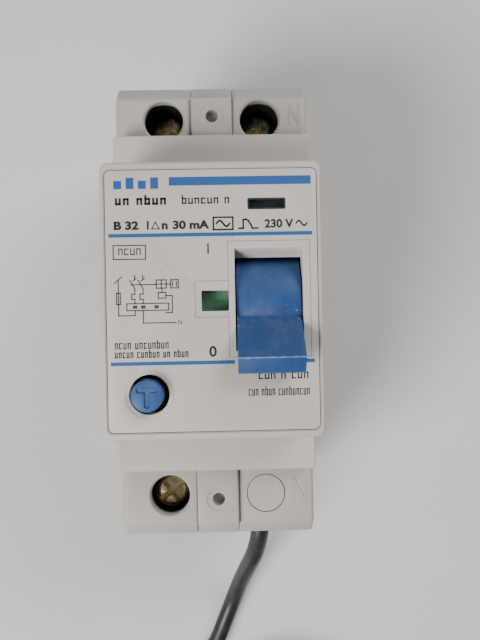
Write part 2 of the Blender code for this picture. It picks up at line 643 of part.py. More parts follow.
def build():
    """Make every piece of the device."""
    clear_scene()
    case_half("left_housing", -1)
    case_half("right_housing", 1)
    middle_partition()
    case_rivets()
    front_cover()
    front_plate()
    windows()
    toggle_handle()
    handle_parts()
    flags()
    test_button()
    for row in TERMINALS:
        terminal(*row)
    line_pole()
    neutral_pole()
    din_clip()
    small_case_parts()
    neutral_lead()


build()
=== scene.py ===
"""Looks of the two-module residual current breaker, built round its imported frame.

The device lies on its back: +Z comes out of the front face and +Y runs to the end with
two terminal screws.  Sizes in this file are millimetres unless a name says otherwise.
"""
from math import cos, hypot, pi, radians, sin

import bmesh
import bpy
from mathutils import Euler, Matrix, Vector


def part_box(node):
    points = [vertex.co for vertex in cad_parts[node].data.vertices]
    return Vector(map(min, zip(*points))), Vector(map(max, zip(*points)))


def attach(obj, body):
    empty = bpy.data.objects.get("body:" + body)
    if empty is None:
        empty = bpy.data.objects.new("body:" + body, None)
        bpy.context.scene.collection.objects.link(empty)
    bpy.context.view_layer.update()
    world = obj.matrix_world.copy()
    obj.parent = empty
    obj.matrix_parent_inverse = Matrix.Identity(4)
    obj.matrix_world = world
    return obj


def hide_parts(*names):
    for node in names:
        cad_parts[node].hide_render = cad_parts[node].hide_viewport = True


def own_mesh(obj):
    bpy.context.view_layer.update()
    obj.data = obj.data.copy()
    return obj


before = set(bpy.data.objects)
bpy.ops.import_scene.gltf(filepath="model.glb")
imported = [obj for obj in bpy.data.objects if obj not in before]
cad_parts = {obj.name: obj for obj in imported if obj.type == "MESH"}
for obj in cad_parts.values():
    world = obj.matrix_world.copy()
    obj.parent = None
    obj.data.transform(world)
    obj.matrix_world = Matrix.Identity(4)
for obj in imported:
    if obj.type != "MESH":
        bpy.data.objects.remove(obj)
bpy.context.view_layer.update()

MM = 0.001


def corners_of(node):
    """Lowest and highest corner of a frame node, in millimetres."""
    low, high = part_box(node)
    return [v / MM for v in low], [v / MM for v in high]


# Driving sizes, read from the frame
RIGHT_HIGH = corners_of("right_housing")[1]
PART_HIGH = corners_of("middle_partition")[1]
COVER_LOW, COVER_HIGH = corners_of("front_cover")
PLATE_LOW, PLATE_HIGH = corners_of("front_plate")
STATUS_LOW, STATUS_HIGH = corners_of("status_window")
TRIP_LOW, TRIP_HIGH = corners_of("trip_window")
HANDLE_LOW, HANDLE_HIGH = corners_of("toggle_handle")
BUTTON_LOW, BUTTON_HIGH = corners_of("test_button")
PLUG_LOW, PLUG_HIGH = corners_of("blanking_plug")
RING_LOW, RING_HIGH = corners_of("neutral_lead_coil")
FERRULE_LOW, FERRULE_HIGH = corners_of("neutral_lead_ferrule")
BUSH_LOW, BUSH_HIGH = corners_of("lead_bush")

HALF_LENGTH = RIGHT_HIGH[1]
HALF_WIDTH = RIGHT_HIGH[0]
SHOULDER = RIGHT_HIGH[2]
PAD_TOP = PART_HIGH[2]
PAD_HALF = PART_HIGH[0]
FRONT = COVER_HIGH[2]
MIDDLE_Y = (COVER_LOW[1] + COVER_HIGH[1]) / 2
BAND_HALF = (COVER_HIGH[1] - COVER_LOW[1]) / 2
SEAM = COVER_LOW[2]
PLATE_TOP = PLATE_HIGH[2]
NOSE_HALF = 22.14
BAND_TOP = 49.0
RAIL_PLANE = 5.5
WALL = 1.5
SHOULDER_ENDS = (39.2, -39.6)
AXLE_Z = 52.3
HUB_R = 8.3
AXLE_BORE_R = 1.8
LUG_STARTS = (-4.3, 14.7)
LUG_WIDTH = 1.1
TERMINALS = (("line_in", 1), ("neutral_in", 1), ("line_out", -1))
FUNNEL_R = 3.6
INK_HEIGHT = 0.02


# ---------------------------------------------------------------- mesh tools


def link(name, mesh):
    """Put a mesh into the scene under a piece name."""
    obj = bpy.data.objects.new(name, mesh)
    bpy.context.scene.collection.objects.link(obj)
    return obj


def piece(name, bm):
    """Turn a bmesh drawn in millimetres into an object."""
    bmesh.ops.scale(bm, verts=bm.verts, vec=(MM, MM, MM))
    bmesh.ops.recalc_face_normals(bm, faces=bm.faces)
    mesh = bpy.data.meshes.new(name)
    bm.to_mesh(mesh)
    bm.free()
    return link(name, mesh)


def prism(outline, lo, hi, axis="X"):
    """Extrude an outline: (Y, Z) points along X, (X, Z) along Y or (X, Y) along Z."""
    place = {
        "X": lambda a, b, h: (h, a, b),
        "Y": lambda a, b, h: (a, h, b),
        "Z": lambda a, b, h: (a, b, h),
    }[axis]
    bm = bmesh.new()
    low = [bm.verts.new(place(a, b, lo)) for a, b in outline]
    high = [bm.verts.new(place(a, b, hi)) for a, b in outline]
    bm.faces.new(low)
    bm.faces.new(list(reversed(high)))
    for i in range(len(outline)):
        j = (i + 1) % len(outline)
        bm.faces.new((low[i], high[i], high[j], low[j]))
    return bm


def block(lo, hi):
    """A box between two corners."""
    return prism([(lo[1], lo[2]), (hi[1], lo[2]), (hi[1], hi[2]), (lo[1], hi[2])], lo[0], hi[0])


def turned(profile, centre, axis="Z", sides=48):
    """Turn a closed (radius, height) profile about an axis through centre."""
    bm = bmesh.new()
    rings = []
    for radius, height in profile:
        if radius == 0.0:
            rings.append([bm.verts.new((0.0, 0.0, height))])
            continue
        steps = [2 * pi * k / sides for k in range(sides)]
        rings.append([bm.verts.new((radius * cos(t), radius * sin(t), height)) for t in steps])
    for a, b in zip(rings, rings[1:] + rings[:1]):
        if len(a) == 1 and len(b) == 1:
            continue
        for k in range(sides):
            n = (k + 1) % sides
            ring = [a[k % len(a)], a[n % len(a)], b[n % len(b)], b[k % len(b)]]
            bm.faces.new(list(dict.fromkeys(ring)))
    turn = {"X": Matrix.Rotation(pi / 2, 4, "Y"), "Y": Matrix.Rotation(-pi / 2, 4, "X")}
    if axis in turn:
        bmesh.ops.transform(bm, matrix=turn[axis], verts=bm.verts)
    bmesh.ops.translate(bm, verts=bm.verts, vec=centre)
    return bm


def rod(centre, radius, lo, hi, axis="Z", sides=48):
    """A plain cylinder along an axis."""
    return turned([(0.0, lo), (radius, lo), (radius, hi), (0.0, hi)], centre, axis, sides)


def rounded(half_x, half_y, radius, middle=(0.0, 0.0), steps=6):
    """A rectangle outline with rounded corners."""
    points = []
    for quarter, (sx, sy) in enumerate(((1, 1), (-1, 1), (-1, -1), (1, -1))):
        cx = middle[0] + sx * (half_x - radius)
        cy = middle[1] + sy * (half_y - radius)
        for k in range(steps + 1):
            t = (quarter + k / steps) * pi / 2
            points.append((cx + radius * cos(t), cy + radius * sin(t)))
    return points


def settle(obj):
    """Apply every modifier and delete the tools that they used."""
    bpy.context.view_layer.update()
    done = bpy.data.meshes.new_from_object(obj.evaluated_get(bpy.context.evaluated_depsgraph_get()))
    tools = [m.object for m in obj.modifiers if m.type == "BOOLEAN"]
    obj.modifiers.clear()
    obj.data = done
    done.name = obj.name
    for tool in tools:
        bpy.data.objects.remove(tool, do_unlink=True)
    return obj


def shape_with(obj, cuts=(), joins=()):
    """Cut shapes away from an object and join others on."""
    for operation, shapes in (("DIFFERENCE", cuts), ("UNION", joins)):
        for number, bm in enumerate(shapes):
            tool = piece(f"tool_{operation.lower()}_{number}", bm)
            modifier = obj.modifiers.new("shape", "BOOLEAN")
            modifier.operation = operation
            modifier.solver = "MANIFOLD"
            modifier.object = tool
    return settle(obj)


def as_shape(obj):
    """Take a finished object back to a bmesh in millimetres, and delete the object."""
    bm = bmesh.new()
    bm.from_mesh(obj.data)
    bmesh.ops.scale(bm, verts=bm.verts, vec=(1 / MM, 1 / MM, 1 / MM))
    bpy.data.objects.remove(obj, do_unlink=True)
    return bm


def soften(obj, width, segments=3, angle=30.0):
    """Round the sharp edges of a piece by a width in millimetres."""
    bevel = obj.modifiers.new("edges", "BEVEL")
    bevel.width = width * MM
    bevel.segments = segments
    bevel.limit_method = "ANGLE"
    bevel.angle_limit = radians(angle)
    bevel.harden_normals = False
    bevel.use_clamp_overlap = True
    return settle(obj)


def soften_by(obj, width_of, segments=3):
    """Round edges, each by its own width: width_of takes an edge's two ends in millimetres."""
    mesh = obj.data
    widths = []
    for edge in mesh.edges:
        ends = [mesh.vertices[v].co / MM for v in edge.vertices]
        widths.append(width_of(*ends))
    most = max(widths)
    layer = mesh.attributes.new("bevel_weight_edge", "FLOAT", "EDGE")
    for slot, width in zip(layer.data, widths):
        slot.value = width / most
    bevel = obj.modifiers.new("edges", "BEVEL")
    bevel.width = most * MM
    bevel.segments = segments
    bevel.limit_method = "WEIGHT"
    return settle(obj)


def smooth_shade(obj, angle=35.0):
    """Smooth shading that keeps the sharp edges."""
    obj.data.shade_smooth()
    obj.data.set_sharp_from_angle(angle=radians(angle))
    return obj


def finish_piece(obj, body, finish, slot, *nodes):
    """Shade a piece, give it its finish, put it on its body and hide the frame nodes that it stands for."""
    smooth_shade(obj)
    obj.data.materials.clear()
    obj.data.materials.append(finish)
    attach(obj, body)
    if nodes:
        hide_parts(*nodes)
    return obj


# ------------------------------------------------------------------ finishes


def group(name, inputs, outputs):
    """A new shader node group with named sockets; gives the tree and its two end nodes."""
    tree = bpy.data.node_groups.new(name, "ShaderNodeTree")
    for label, kind, value in inputs:
        socket = tree.interface.new_socket(label, in_out="INPUT", socket_type=kind)
        socket.default_value = value
    for label, kind in outputs:
        tree.interface.new_socket(label, in_out="OUTPUT", socket_type=kind)
    return tree, tree.nodes.new("NodeGroupInput"), tree.nodes.new("NodeGroupOutput")


def node(tree, kind, settings=None, **links):
    """Add a node, set its properties, and link or set its inputs by socket name."""
    made = tree.nodes.new(kind)
    for label, value in (settings or {}).items():
        setattr(made, label, value)
    for label, value in links.items():
        key = int(label[1:]) if label[0] == "i" and label[1:].isdigit() else label.replace("_", " ")
        if isinstance(value, bpy.types.NodeSocket):
            tree.links.new(value, made.inputs[key])
        else:
            made.inputs[key].default_value = value
    return made


def on_piece(tree):
    """The place on the piece, in its own coordinates."""
    return tree.nodes.new("ShaderNodeTexCoord").outputs["Object"]


def maths(tree, operation, first, second=0.0, clamp=False):
    """A Math node's result."""
    made = node(tree, "ShaderNodeMath", {"operation": operation, "use_clamp": clamp}, i0=first, i1=second)
    return made.outputs[0]


def mixed(tree, factor, first, second, blend="MIX"):
    """A colour between two others."""
    made = tree.nodes.new("ShaderNodeMix")
    made.data_type = "RGBA"
    made.blend_type = blend
    for index, value in ((0, factor), (6, first), (7, second)):
        if isinstance(value, bpy.types.NodeSocket):
            tree.links.new(value, made.inputs[index])
        else:
            made.inputs[index].default_value = value
    return made.outputs[2]


def stepped(tree, value, low, high, to_low=0.0, to_high=1.0):
    """A value eased from one range to another."""
    made = node(tree, "ShaderNodeMapRange", {"interpolation_type": "SMOOTHSTEP"})
    tree.links.new(value, made.inputs[0])
    for index, number in enumerate((low, high, to_low, to_high), 1):
        made.inputs[index].default_value = number
    return made.outputs[0]


def noise(tree, where, scale, detail=3.0, rough=0.55):
    """Noise over the piece; scale is in cycles per metre."""
    made = node(tree, "ShaderNodeTexNoise", None, Vector=where, Scale=scale, Detail=detail, Roughness=rough)
    return made.outputs["Fac"]


def moulded_group():
    """Fine spark-eroded grain, soft colour drift and faint grime for moulded plastic."""
    tree, given, out = group(
        "Moulded plastic",
        [("Colour", "NodeSocketColor", (0.6, 0.6, 0.6, 1)), ("Shade", "NodeSocketColor", (0.5, 0.5, 0.5, 1)),
         ("Grain", "NodeSocketFloat", 3200.0), ("Drift", "NodeSocketFloat", 0.35),
         ("Gloss low", "NodeSocketFloat", 0.42), ("Gloss high", "NodeSocketFloat", 0.6),
         ("Dirt", "NodeSocketFloat", 0.0)],
        [("Colour", "NodeSocketColor"), ("Roughness", "NodeSocketFloat"), ("Height", "NodeSocketFloat")],
    )
    where = on_piece(tree)
    broad = noise(tree, where, 55.0, 4.0)
    cloud = noise(tree, where, 320.0, 3.0)
    fine = node(tree, "ShaderNodeTexNoise", None, Vector=where, Scale=given.outputs["Grain"], Detail=2.0)
    drift = maths(tree, "MULTIPLY", stepped(tree, broad, 0.35, 0.7), given.outputs["Drift"])
    colour = mixed(tree, drift, given.outputs["Colour"], given.outputs["Shade"])
    speck = stepped(tree, noise(tree, where, 1500.0, 2.0), 0.70, 0.78, 0.0, 0.35)
    colour = mixed(tree, speck, colour, given.outputs["Shade"])
    dots = node(tree, "ShaderNodeTexVoronoi", None, Vector=where, Scale=430.0).outputs["Distance"]
    few = stepped(tree, noise(tree, where, 260.0, 1.0), 0.56, 0.6)
    dots = maths(tree, "MULTIPLY", stepped(tree, dots, 0.062, 0.03), few)
    colour = mixed(tree, maths(tree, "MULTIPLY", dots, given.outputs["Dirt"]), colour, (0.09, 0.075, 0.06, 1))
    spread = maths(tree, "SUBTRACT", given.outputs["Gloss high"], given.outputs["Gloss low"])
    rough = maths(tree, "MULTIPLY_ADD", cloud, spread)
    tree.links.new(given.outputs["Gloss low"], rough.node.inputs[2])
    height = maths(tree, "ADD", fine.outputs["Fac"], maths(tree, "MULTIPLY", cloud, 0.6))
    tree.links.new(colour, out.inputs["Colour"])
    tree.links.new(rough, out.inputs["Roughness"])
    tree.links.new(height, out.inputs["Height"])
    return tree


def dust_group():
    """Pale dust that settles on upward faces, with a few bright motes."""
    tree, given, out = group(
        "Settled dust",
        [("Colour", "NodeSocketColor", (0.5, 0.5, 0.5, 1)), ("Dust", "NodeSocketColor", (0.55, 0.52, 0.48, 1)),
         ("Amount", "NodeSocketFloat", 0.3), ("Motes", "NodeSocketFloat", 0.6)],
        [("Colour", "NodeSocketColor"), ("Mask", "NodeSocketFloat")],
    )
    where = on_piece(tree)
    normal = tree.nodes.new("ShaderNodeTexCoord").outputs["Normal"]
    up = node(tree, "ShaderNodeSeparateXYZ", None, Vector=normal).outputs["Z"]
    facing = stepped(tree, up, 0.2, 0.95)
    film = stepped(tree, noise(tree, where, 240.0, 5.0, 0.7), 0.42, 0.72)
    film = maths(tree, "MULTIPLY", maths(tree, "MULTIPLY", film, facing), given.outputs["Amount"])
    motes = node(tree, "ShaderNodeTexVoronoi", None, Vector=where, Scale=620.0).outputs["Distance"]
    motes = maths(tree, "MULTIPLY", stepped(tree, motes, 0.11, 0.05), facing)
    rare = stepped(tree, noise(tree, where, 420.0, 1.0), 0.60, 0.64)
    motes = maths(tree, "MULTIPLY", maths(tree, "MULTIPLY", motes, rare), given.outputs["Motes"])
    mask = maths(tree, "ADD", film, motes, clamp=True)
    tree.links.new(mixed(tree, mask, given.outputs["Colour"], given.outputs["Dust"]), out.inputs["Colour"])
    tree.links.new(mask, out.inputs["Mask"])
    return tree


def metal_group():
    """Brushed and slightly stained metal: colour, roughness and fine scratches."""
    tree, given, out = group(
        "Worked metal",
        [("Colour", "NodeSocketColor", (0.6, 0.6, 0.6, 1)), ("Stain", "NodeSocketColor", (0.3, 0.25, 0.2, 1)),
         ("Stained", "NodeSocketFloat", 0.4), ("Gloss", "NodeSocketFloat", 0.3)],
        [("Colour", "NodeSocketColor"), ("Roughness", "NodeSocketFloat"), ("Height", "NodeSocketFloat")],
    )
    where = on_piece(tree)
    stretch = node(tree, "ShaderNodeMapping", None, Vector=where, Scale=(9000.0, 900.0, 2500.0)).outputs[0]
    brush = noise(tree, stretch, 1.0, 2.0)
    blot = stepped(tree, noise(tree, where, 700.0, 4.0, 0.65), 0.45, 0.7)
    colour = mixed(tree, maths(tree, "MULTIPLY", blot, given.outputs["Stained"]), given.outputs["Colour"],
                   given.outputs["Stain"])
    rough = maths(tree, "ADD", given.outputs["Gloss"], maths(tree, "MULTIPLY", blot, 0.22))
    rough = maths(tree, "ADD", rough, maths(tree, "MULTIPLY", brush, 0.12))
    tree.links.new(colour, out.inputs["Colour"])
    tree.links.new(rough, out.inputs["Roughness"])
    tree.links.new(brush, out.inputs["Height"])
    return tree


FLAG_RED = (0.42, 0.035, 0.025, 1)
MOULDED = moulded_group()
DUST = dust_group()
METAL = metal_group()


def placed(tree, nodes, **values):
    """Place a node group in a material with its own values."""
    made = tree.nodes.new("ShaderNodeGroup")
    made.node_tree = nodes
    for label, value in values.items():
        key = label.replace("_", " ")
        if isinstance(value, bpy.types.NodeSocket):
            tree.links.new(value, made.inputs[key])
        else:
            made.inputs[key].default_value = value
    return made


def blank_material(name):
    """A material, its node tree and its Principled shader."""
    made = bpy.data.materials.new(name)
    made.use_nodes = True
    return made, made.node_tree, made.node_tree.nodes["Principled BSDF"]


def bump(tree, shader, height, depth, strength=1.0):
    """Feed a height into the shader's normal; depth is in metres."""
    made = node(tree, "ShaderNodeBump", None, Height=height, Strength=strength, Distance=depth)
    tree.links.new(made.outputs["Normal"], shader.inputs["Normal"])


def plastic(name, colour, shade, dust=0.15, motes=0.2, grain=3200.0, gloss=(0.42, 0.58), depth=0.000012, dirt=0.0):
    """Moulded plastic with a little dust."""
    made, tree, shader = blank_material(name)
    base = placed(tree, MOULDED, Colour=(*colour, 1), Shade=(*shade, 1), Grain=grain,
                  Gloss_low=gloss[0], Gloss_high=gloss[1], Dirt=dirt)
    over = placed(tree, DUST, Colour=base.outputs["Colour"], Amount=dust, Motes=motes)
    tree.links.new(over.outputs["Colour"], shader.inputs["Base Color"])
    tree.links.new(base.outputs["Roughness"], shader.inputs["Roughness"])
    shader.inputs["IOR"].default_value = 1.5
    bump(tree, shader, base.outputs["Height"], depth)
    return made


def metal(name, colour, stain, stained=0.4, gloss=0.28, depth=0.000006):
    """Bare or plated metal."""
    made, tree, shader = blank_material(name)
    base = placed(tree, METAL, Colour=(*colour, 1), Stain=(*stain, 1), Stained=stained, Gloss=gloss)
    tree.links.new(base.outputs["Colour"], shader.inputs["Base Color"])
    tree.links.new(base.outputs["Roughness"], shader.inputs["Roughness"])
    shader.inputs["Metallic"].default_value = 1.0
    bump(tree, shader, base.outputs["Height"], depth)
    return made


def blue_handle_finish():
    """Blue plastic with a painted highlight, a pale line along the top of the lever, and dusty on its slope."""
    made, tree, shader = blank_material("blue_handle")
    base = placed(tree, MOULDED, Colour=(0.014, 0.06, 0.205, 1), Shade=(0.024, 0.085, 0.24, 1), Grain=2600.0,
                  Drift=0.7, Gloss_low=0.36, Gloss_high=0.55)
    over = placed(tree, DUST, Colour=base.outputs["Colour"], Dust=(0.2, 0.24, 0.32, 1), Amount=0.16, Motes=0.8)
    where = on_piece(tree)
    streaks = node(tree, "ShaderNodeMapping", None, Vector=where, Scale=(2600.0, 120.0, 120.0)).outputs[0]
    streak = stepped(tree, noise(tree, streaks, 1.0, 2.0), 0.5, 0.8, 0.0, 0.14)
    colour = mixed(tree, streak, over.outputs["Colour"], (0.1, 0.18, 0.36, 1))
    spot = node(tree, "ShaderNodeSeparateXYZ", None, Vector=where)
    ragged = maths(tree, "MULTIPLY", noise(tree, where, 1400.0, 3.0), 0.00022)
    # Painted highlight: a pale, ragged line along the top edge of the lever.
    top = HANDLE_HIGH[2] * MM
    top_edge_highlight = stepped(tree, maths(tree, "ADD", spot.outputs["Z"], ragged), top - 0.00002, top + 0.0001, 0.0, 0.75)
    colour = mixed(tree, top_edge_highlight, colour, (0.22, 0.36, 0.6, 1))
    from_crease = maths(tree, "SUBTRACT", spot.outputs["Y"], (MIDDLE_Y - 3.2) * MM)
    near = stepped(tree, maths(tree, "ABSOLUTE", from_crease), 0.0024, 0.0004)
    chips = node(tree, "ShaderNodeTexVoronoi", None, Vector=where, Scale=1050.0).outputs["Distance"]
    sparse = stepped(tree, noise(tree, where, 600.0, 1.0), 0.5, 0.56)
    chips = maths(tree, "MULTIPLY", maths(tree, "MULTIPLY", stepped(tree, chips, 0.17, 0.09), sparse), near)
    colour = mixed(tree, chips, colour, (0.55, 0.53, 0.5, 1))
    dusty = maths(tree, "MULTIPLY", stepped(tree, noise(tree, where, 380.0, 5.0, 0.7), 0.45, 0.75, 0.0, 0.4), near)
    colour = mixed(tree, dusty, colour, (0.16, 0.15, 0.15, 1))
    tree.links.new(colour, shader.inputs["Base Color"])
    tree.links.new(base.outputs["Roughness"], shader.inputs["Roughness"])
    bump(tree, shader, base.outputs["Height"], 0.000012)
    return made


def flag_finish(name, paint, edge, red_above, drift, gloss):
    """Painted flag: one colour on the half that shows at rest and red on the other; edge is where they meet."""
    made, tree, shader = blank_material(name)
    along = node(tree, "ShaderNodeSeparateXYZ", None, Vector=on_piece(tree)).outputs["Y"]
    split = stepped(tree, along, edge * MM, (edge + 0.1) * MM)
    base = placed(tree, MOULDED, Colour=(*paint[0], 1), Shade=(*paint[1], 1), Grain=2500.0, Drift=drift,
                  Gloss_low=gloss[0], Gloss_high=gloss[1])
    halves = [base.outputs["Colour"], FLAG_RED]
    below, above = halves if red_above else reversed(halves)
    tree.links.new(mixed(tree, split, below, above), shader.inputs["Base Color"])
    tree.links.new(base.outputs["Roughness"], shader.inputs["Roughness"])
    bump(tree, shader, base.outputs["Height"], 0.00001)
    return made


def clear_finish():
    """Thin clear pane."""
    made, tree, shader = blank_material("clear_pane")
    where = on_piece(tree)
    haze = stepped(tree, noise(tree, where, 500.0, 4.0), 0.4, 0.8, 0.04, 0.16)
    tree.links.new(haze, shader.inputs["Roughness"])
    shader.inputs["Base Color"].default_value = (0.93, 0.96, 0.95, 1)
    shader.inputs["Transmission Weight"].default_value = 1.0
    shader.inputs["Alpha"].default_value = 0.35
    shader.inputs["IOR"].default_value = 1.3
    return made


def ink(name, colour):
    """Printed ink with faint wear in it."""
    made, tree, shader = blank_material(name)
    where = on_piece(tree)
    wear = stepped(tree, noise(tree, where, 2300.0, 4.0, 0.7), 0.58, 0.8, 0.0, 0.45)
    tree.links.new(mixed(tree, wear, (*colour, 1), (0.5, 0.47, 0.43, 1)), shader.inputs["Base Color"])
    shader.inputs["Roughness"].default_value = 0.5
    return made


def wire_finish():
    """Black insulated wire: satin, with faint grain and dust."""
    made, tree, shader = blank_material("black_wire")
    base = placed(tree, MOULDED, Colour=(0.011, 0.011, 0.012, 1), Shade=(0.03, 0.03, 0.032, 1), Grain=1800.0,
                  Drift=0.5, Gloss_low=0.32, Gloss_high=0.5)
    over = placed(tree, DUST, Colour=base.outputs["Colour"], Dust=(0.2, 0.2, 0.2, 1), Amount=0.12, Motes=0.5)
    tree.links.new(over.outputs["Colour"], shader.inputs["Base Color"])
    tree.links.new(base.outputs["Roughness"], shader.inputs["Roughness"])
    bump(tree, shader, base.outputs["Height"], 0.00003)
    return made


CASE = plastic("case_plastic", (0.47, 0.435, 0.41), (0.40, 0.365, 0.34), dust=0.12, motes=0.15, dirt=0.6)
NOSE = plastic("front_plastic", (0.57, 0.525, 0.49), (0.49, 0.45, 0.415), dust=0.1, motes=0.1, dirt=0.6)
PLATE = plastic("plate_plastic", (0.60, 0.55, 0.515), (0.53, 0.485, 0.45), dust=0.08, motes=0.12, grain=4200.0,
                gloss=(0.38, 0.52), depth=0.000008, dirt=0.75)
BUTTON_BLUE = plastic("button_blue", (0.024, 0.085, 0.25), (0.036, 0.11, 0.28), dust=0.08, motes=0.5,
                      gloss=(0.48, 0.62))
HANDLE_BLUE = blue_handle_finish()
BLACK = plastic("black_plastic", (0.02, 0.021, 0.023), (0.04, 0.04, 0.042), dust=0.1)
CLIP_GREY = plastic("clip_plastic", (0.06, 0.06, 0.063), (0.09, 0.09, 0.09), dust=0.1)
FIBRE = plastic("fibre_board", (0.17, 0.09, 0.05), (0.1, 0.05, 0.03), dust=0.05, grain=900.0, depth=0.00005)
BOARD = plastic("board_green", (0.02, 0.15, 0.06), (0.01, 0.08, 0.035), dust=0.05, gloss=(0.2, 0.35))
YELLOW_ZINC = metal("yellow_zinc", (0.62, 0.52, 0.29), (0.09, 0.06, 0.025), stained=0.75, gloss=0.14)
STEEL = metal("plain_steel", (0.55, 0.55, 0.56), (0.3, 0.29, 0.28), stained=0.4)
COPPER = metal("copper", (0.78, 0.36, 0.2), (0.35, 0.15, 0.08), stained=0.5)
CLEAR = clear_finish()
WIRE = wire_finish()
BLUE_INK = ink("blue_ink", (0.022, 0.1, 0.31))
BLACK_INK = ink("black_ink", (0.014, 0.014, 0.017))
GREY_INK = ink("grey_ink", (0.045, 0.045, 0.05))

# ----------------------------------------------------------------- the lead

LEAD_R = 2.0
EXIT = ((BUSH_LOW[0] + BUSH_HIGH[0]) / 2, -HALF_LENGTH, (BUSH_LOW[2] + BUSH_HIGH[2]) / 2)
COIL = ((RING_LOW[0] + RING_HIGH[0]) / 2, (RING_LOW[1] + RING_HIGH[1]) / 2)
PITCH = 4.1
OUTER_TURN = (RING_HIGH[0] - RING_LOW[0]) / 2 - LEAD_R - 0.2
LOW_LAYER = LEAD_R + 0.7
STEP_UP = 3.5
CROSS_UP = 4.08
JOG_START, JOG = 115.0, 60.0
# Where the lead falls from its exit to the floor and on to the coil
LEAD_FALL = ((8.85, -36.0, 23.0), (8.85, -42.1, 23.0), (8.85, -46.0, 22.9), (8.5, -50.3, 21.7), (7.5, -55.5, 18.4),
             (5.9, -61.3, 12.4), (4.2, -67.2, 6.6), (2.4, -73.0, 3.1), (0.2, -78.8, 2.1), (-2.3, -84.5, 2.2),
             (-5.2, -88.1, 2.8))


def through(points, steps=6):
    """A smooth line that passes through every point."""
    line = []
    ends = [points[0]] + list(points) + [points[-1]]
    for a, b, c, d in zip(ends, ends[1:], ends[2:], ends[3:]):
        a, b, c, d = map(Vector, (a, b, c, d))
        for k in range(steps):
            t = k / steps
            line.append((2 * b + (c - a) * t + (2 * a - 5 * b + 4 * c - d) * t ** 2
                         + (3 * b - a - 3 * c + d) * t ** 3) / 2)
    line.append(Vector(points[-1]))
    return line


def on_coil(degrees, radius, height):
    """A point of the coil by its angle, radius and height."""
    t = radians(degrees)
    return (COIL[0] + radius * cos(t), COIL[1] + radius * sin(t), height)


def coil_line():
    """Two layers of turns: the upper works inward, drops, and the lower works outward."""
    upper = LOW_LAYER + STEP_UP
    first = OUTER_TURN - 2 * PITCH
    line = [on_coil(143, 28.4, 5.6), on_coil(155, 26.5, 6.9), on_coil(165, 24.8, LOW_LAYER + CROSS_UP)]
    turn_end, jog_end = JOG_START + 360, JOG_START + 360 + JOG
    angle = jog_end - 360

    def around(until, radius, height):
        nonlocal angle
        while angle < until:
            line.append(on_coil(angle, radius, height))
            angle += 7.5

    def jog(shape):
        nonlocal angle
        start = angle
        while angle < start + JOG:
            line.append(on_coil(angle, *shape((angle - start) / JOG)))
            angle += 5.0

    def over(t):
        return OUTER_TURN - PITCH * (0.5 + t), upper + (CROSS_UP - STEP_UP) * min(1.0, 8 * t, 8 * (1 - t))

    def drop(t):
        swing = radians(60 + 120 * t)
        return first + PITCH * t + CROSS_UP * cos(swing), LOW_LAYER + CROSS_UP * sin(swing)

    around(turn_end, OUTER_TURN - PITCH / 2, upper)
    jog(over)
    around(turn_end + 360, OUTER_TURN - 1.5 * PITCH, upper)
    jog(drop)
    around(turn_end + 720, first, LOW_LAYER)
    jog(lambda t: (first + PITCH * t, LOW_LAYER))
    around(turn_end + 1080, first + PITCH, LOW_LAYER)
    jog(lambda t: (first + PITCH + PITCH * t, LOW_LAYER))
    around(270 + 1440 - 5, OUTER_TURN, LOW_LAYER)
    line.append(on_coil(270, OUTER_TURN, LOW_LAYER))
    return line


def make_lead():
    """The black neutral lead as one wire, from its exit round its coil to its ferrule; gives the wire and its free
    length.
    """
    ferrule_z = (FERRULE_LOW[2] + FERRULE_HIGH[2]) / 2
    turns = coil_line()
    line = through(list(LEAD_FALL) + [on_coil(131, 29.9, 3.9)] + turns[:3], 5)[:-1]
    line += [Vector(p) for p in turns[2:]]
    line += [Vector((COIL[0] + 8.0, COIL[1] - OUTER_TURN, (LOW_LAYER + ferrule_z) / 2)),
             Vector((FERRULE_LOW[0] + 0.8, COIL[1] - OUTER_TURN, ferrule_z))]
    curve = bpy.data.curves.new("neutral_lead_wire", "CURVE")
    curve.dimensions = "3D"
    spline = curve.splines.new("POLY")
    spline.points.add(len(line) - 1)
    for point, place in zip(spline.points, line):
        point.co = (*(place * MM), 1.0)
    spline.use_smooth = True
    curve.bevel_depth = LEAD_R * MM
    curve.bevel_resolution = 6
    curve.use_fill_caps = True
    curve.materials.append(WIRE)
    wire = link("neutral_lead_wire", curve)
    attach(wire, "case")
    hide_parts("neutral_lead", "neutral_lead_coil")
    start = min(range(len(line)), key=lambda k: (line[k] - Vector(EXIT)).length)
    free = line[start:]
    length = sum((b - a).length for a, b in zip(free, free[1:])) * MM
    return wire, length


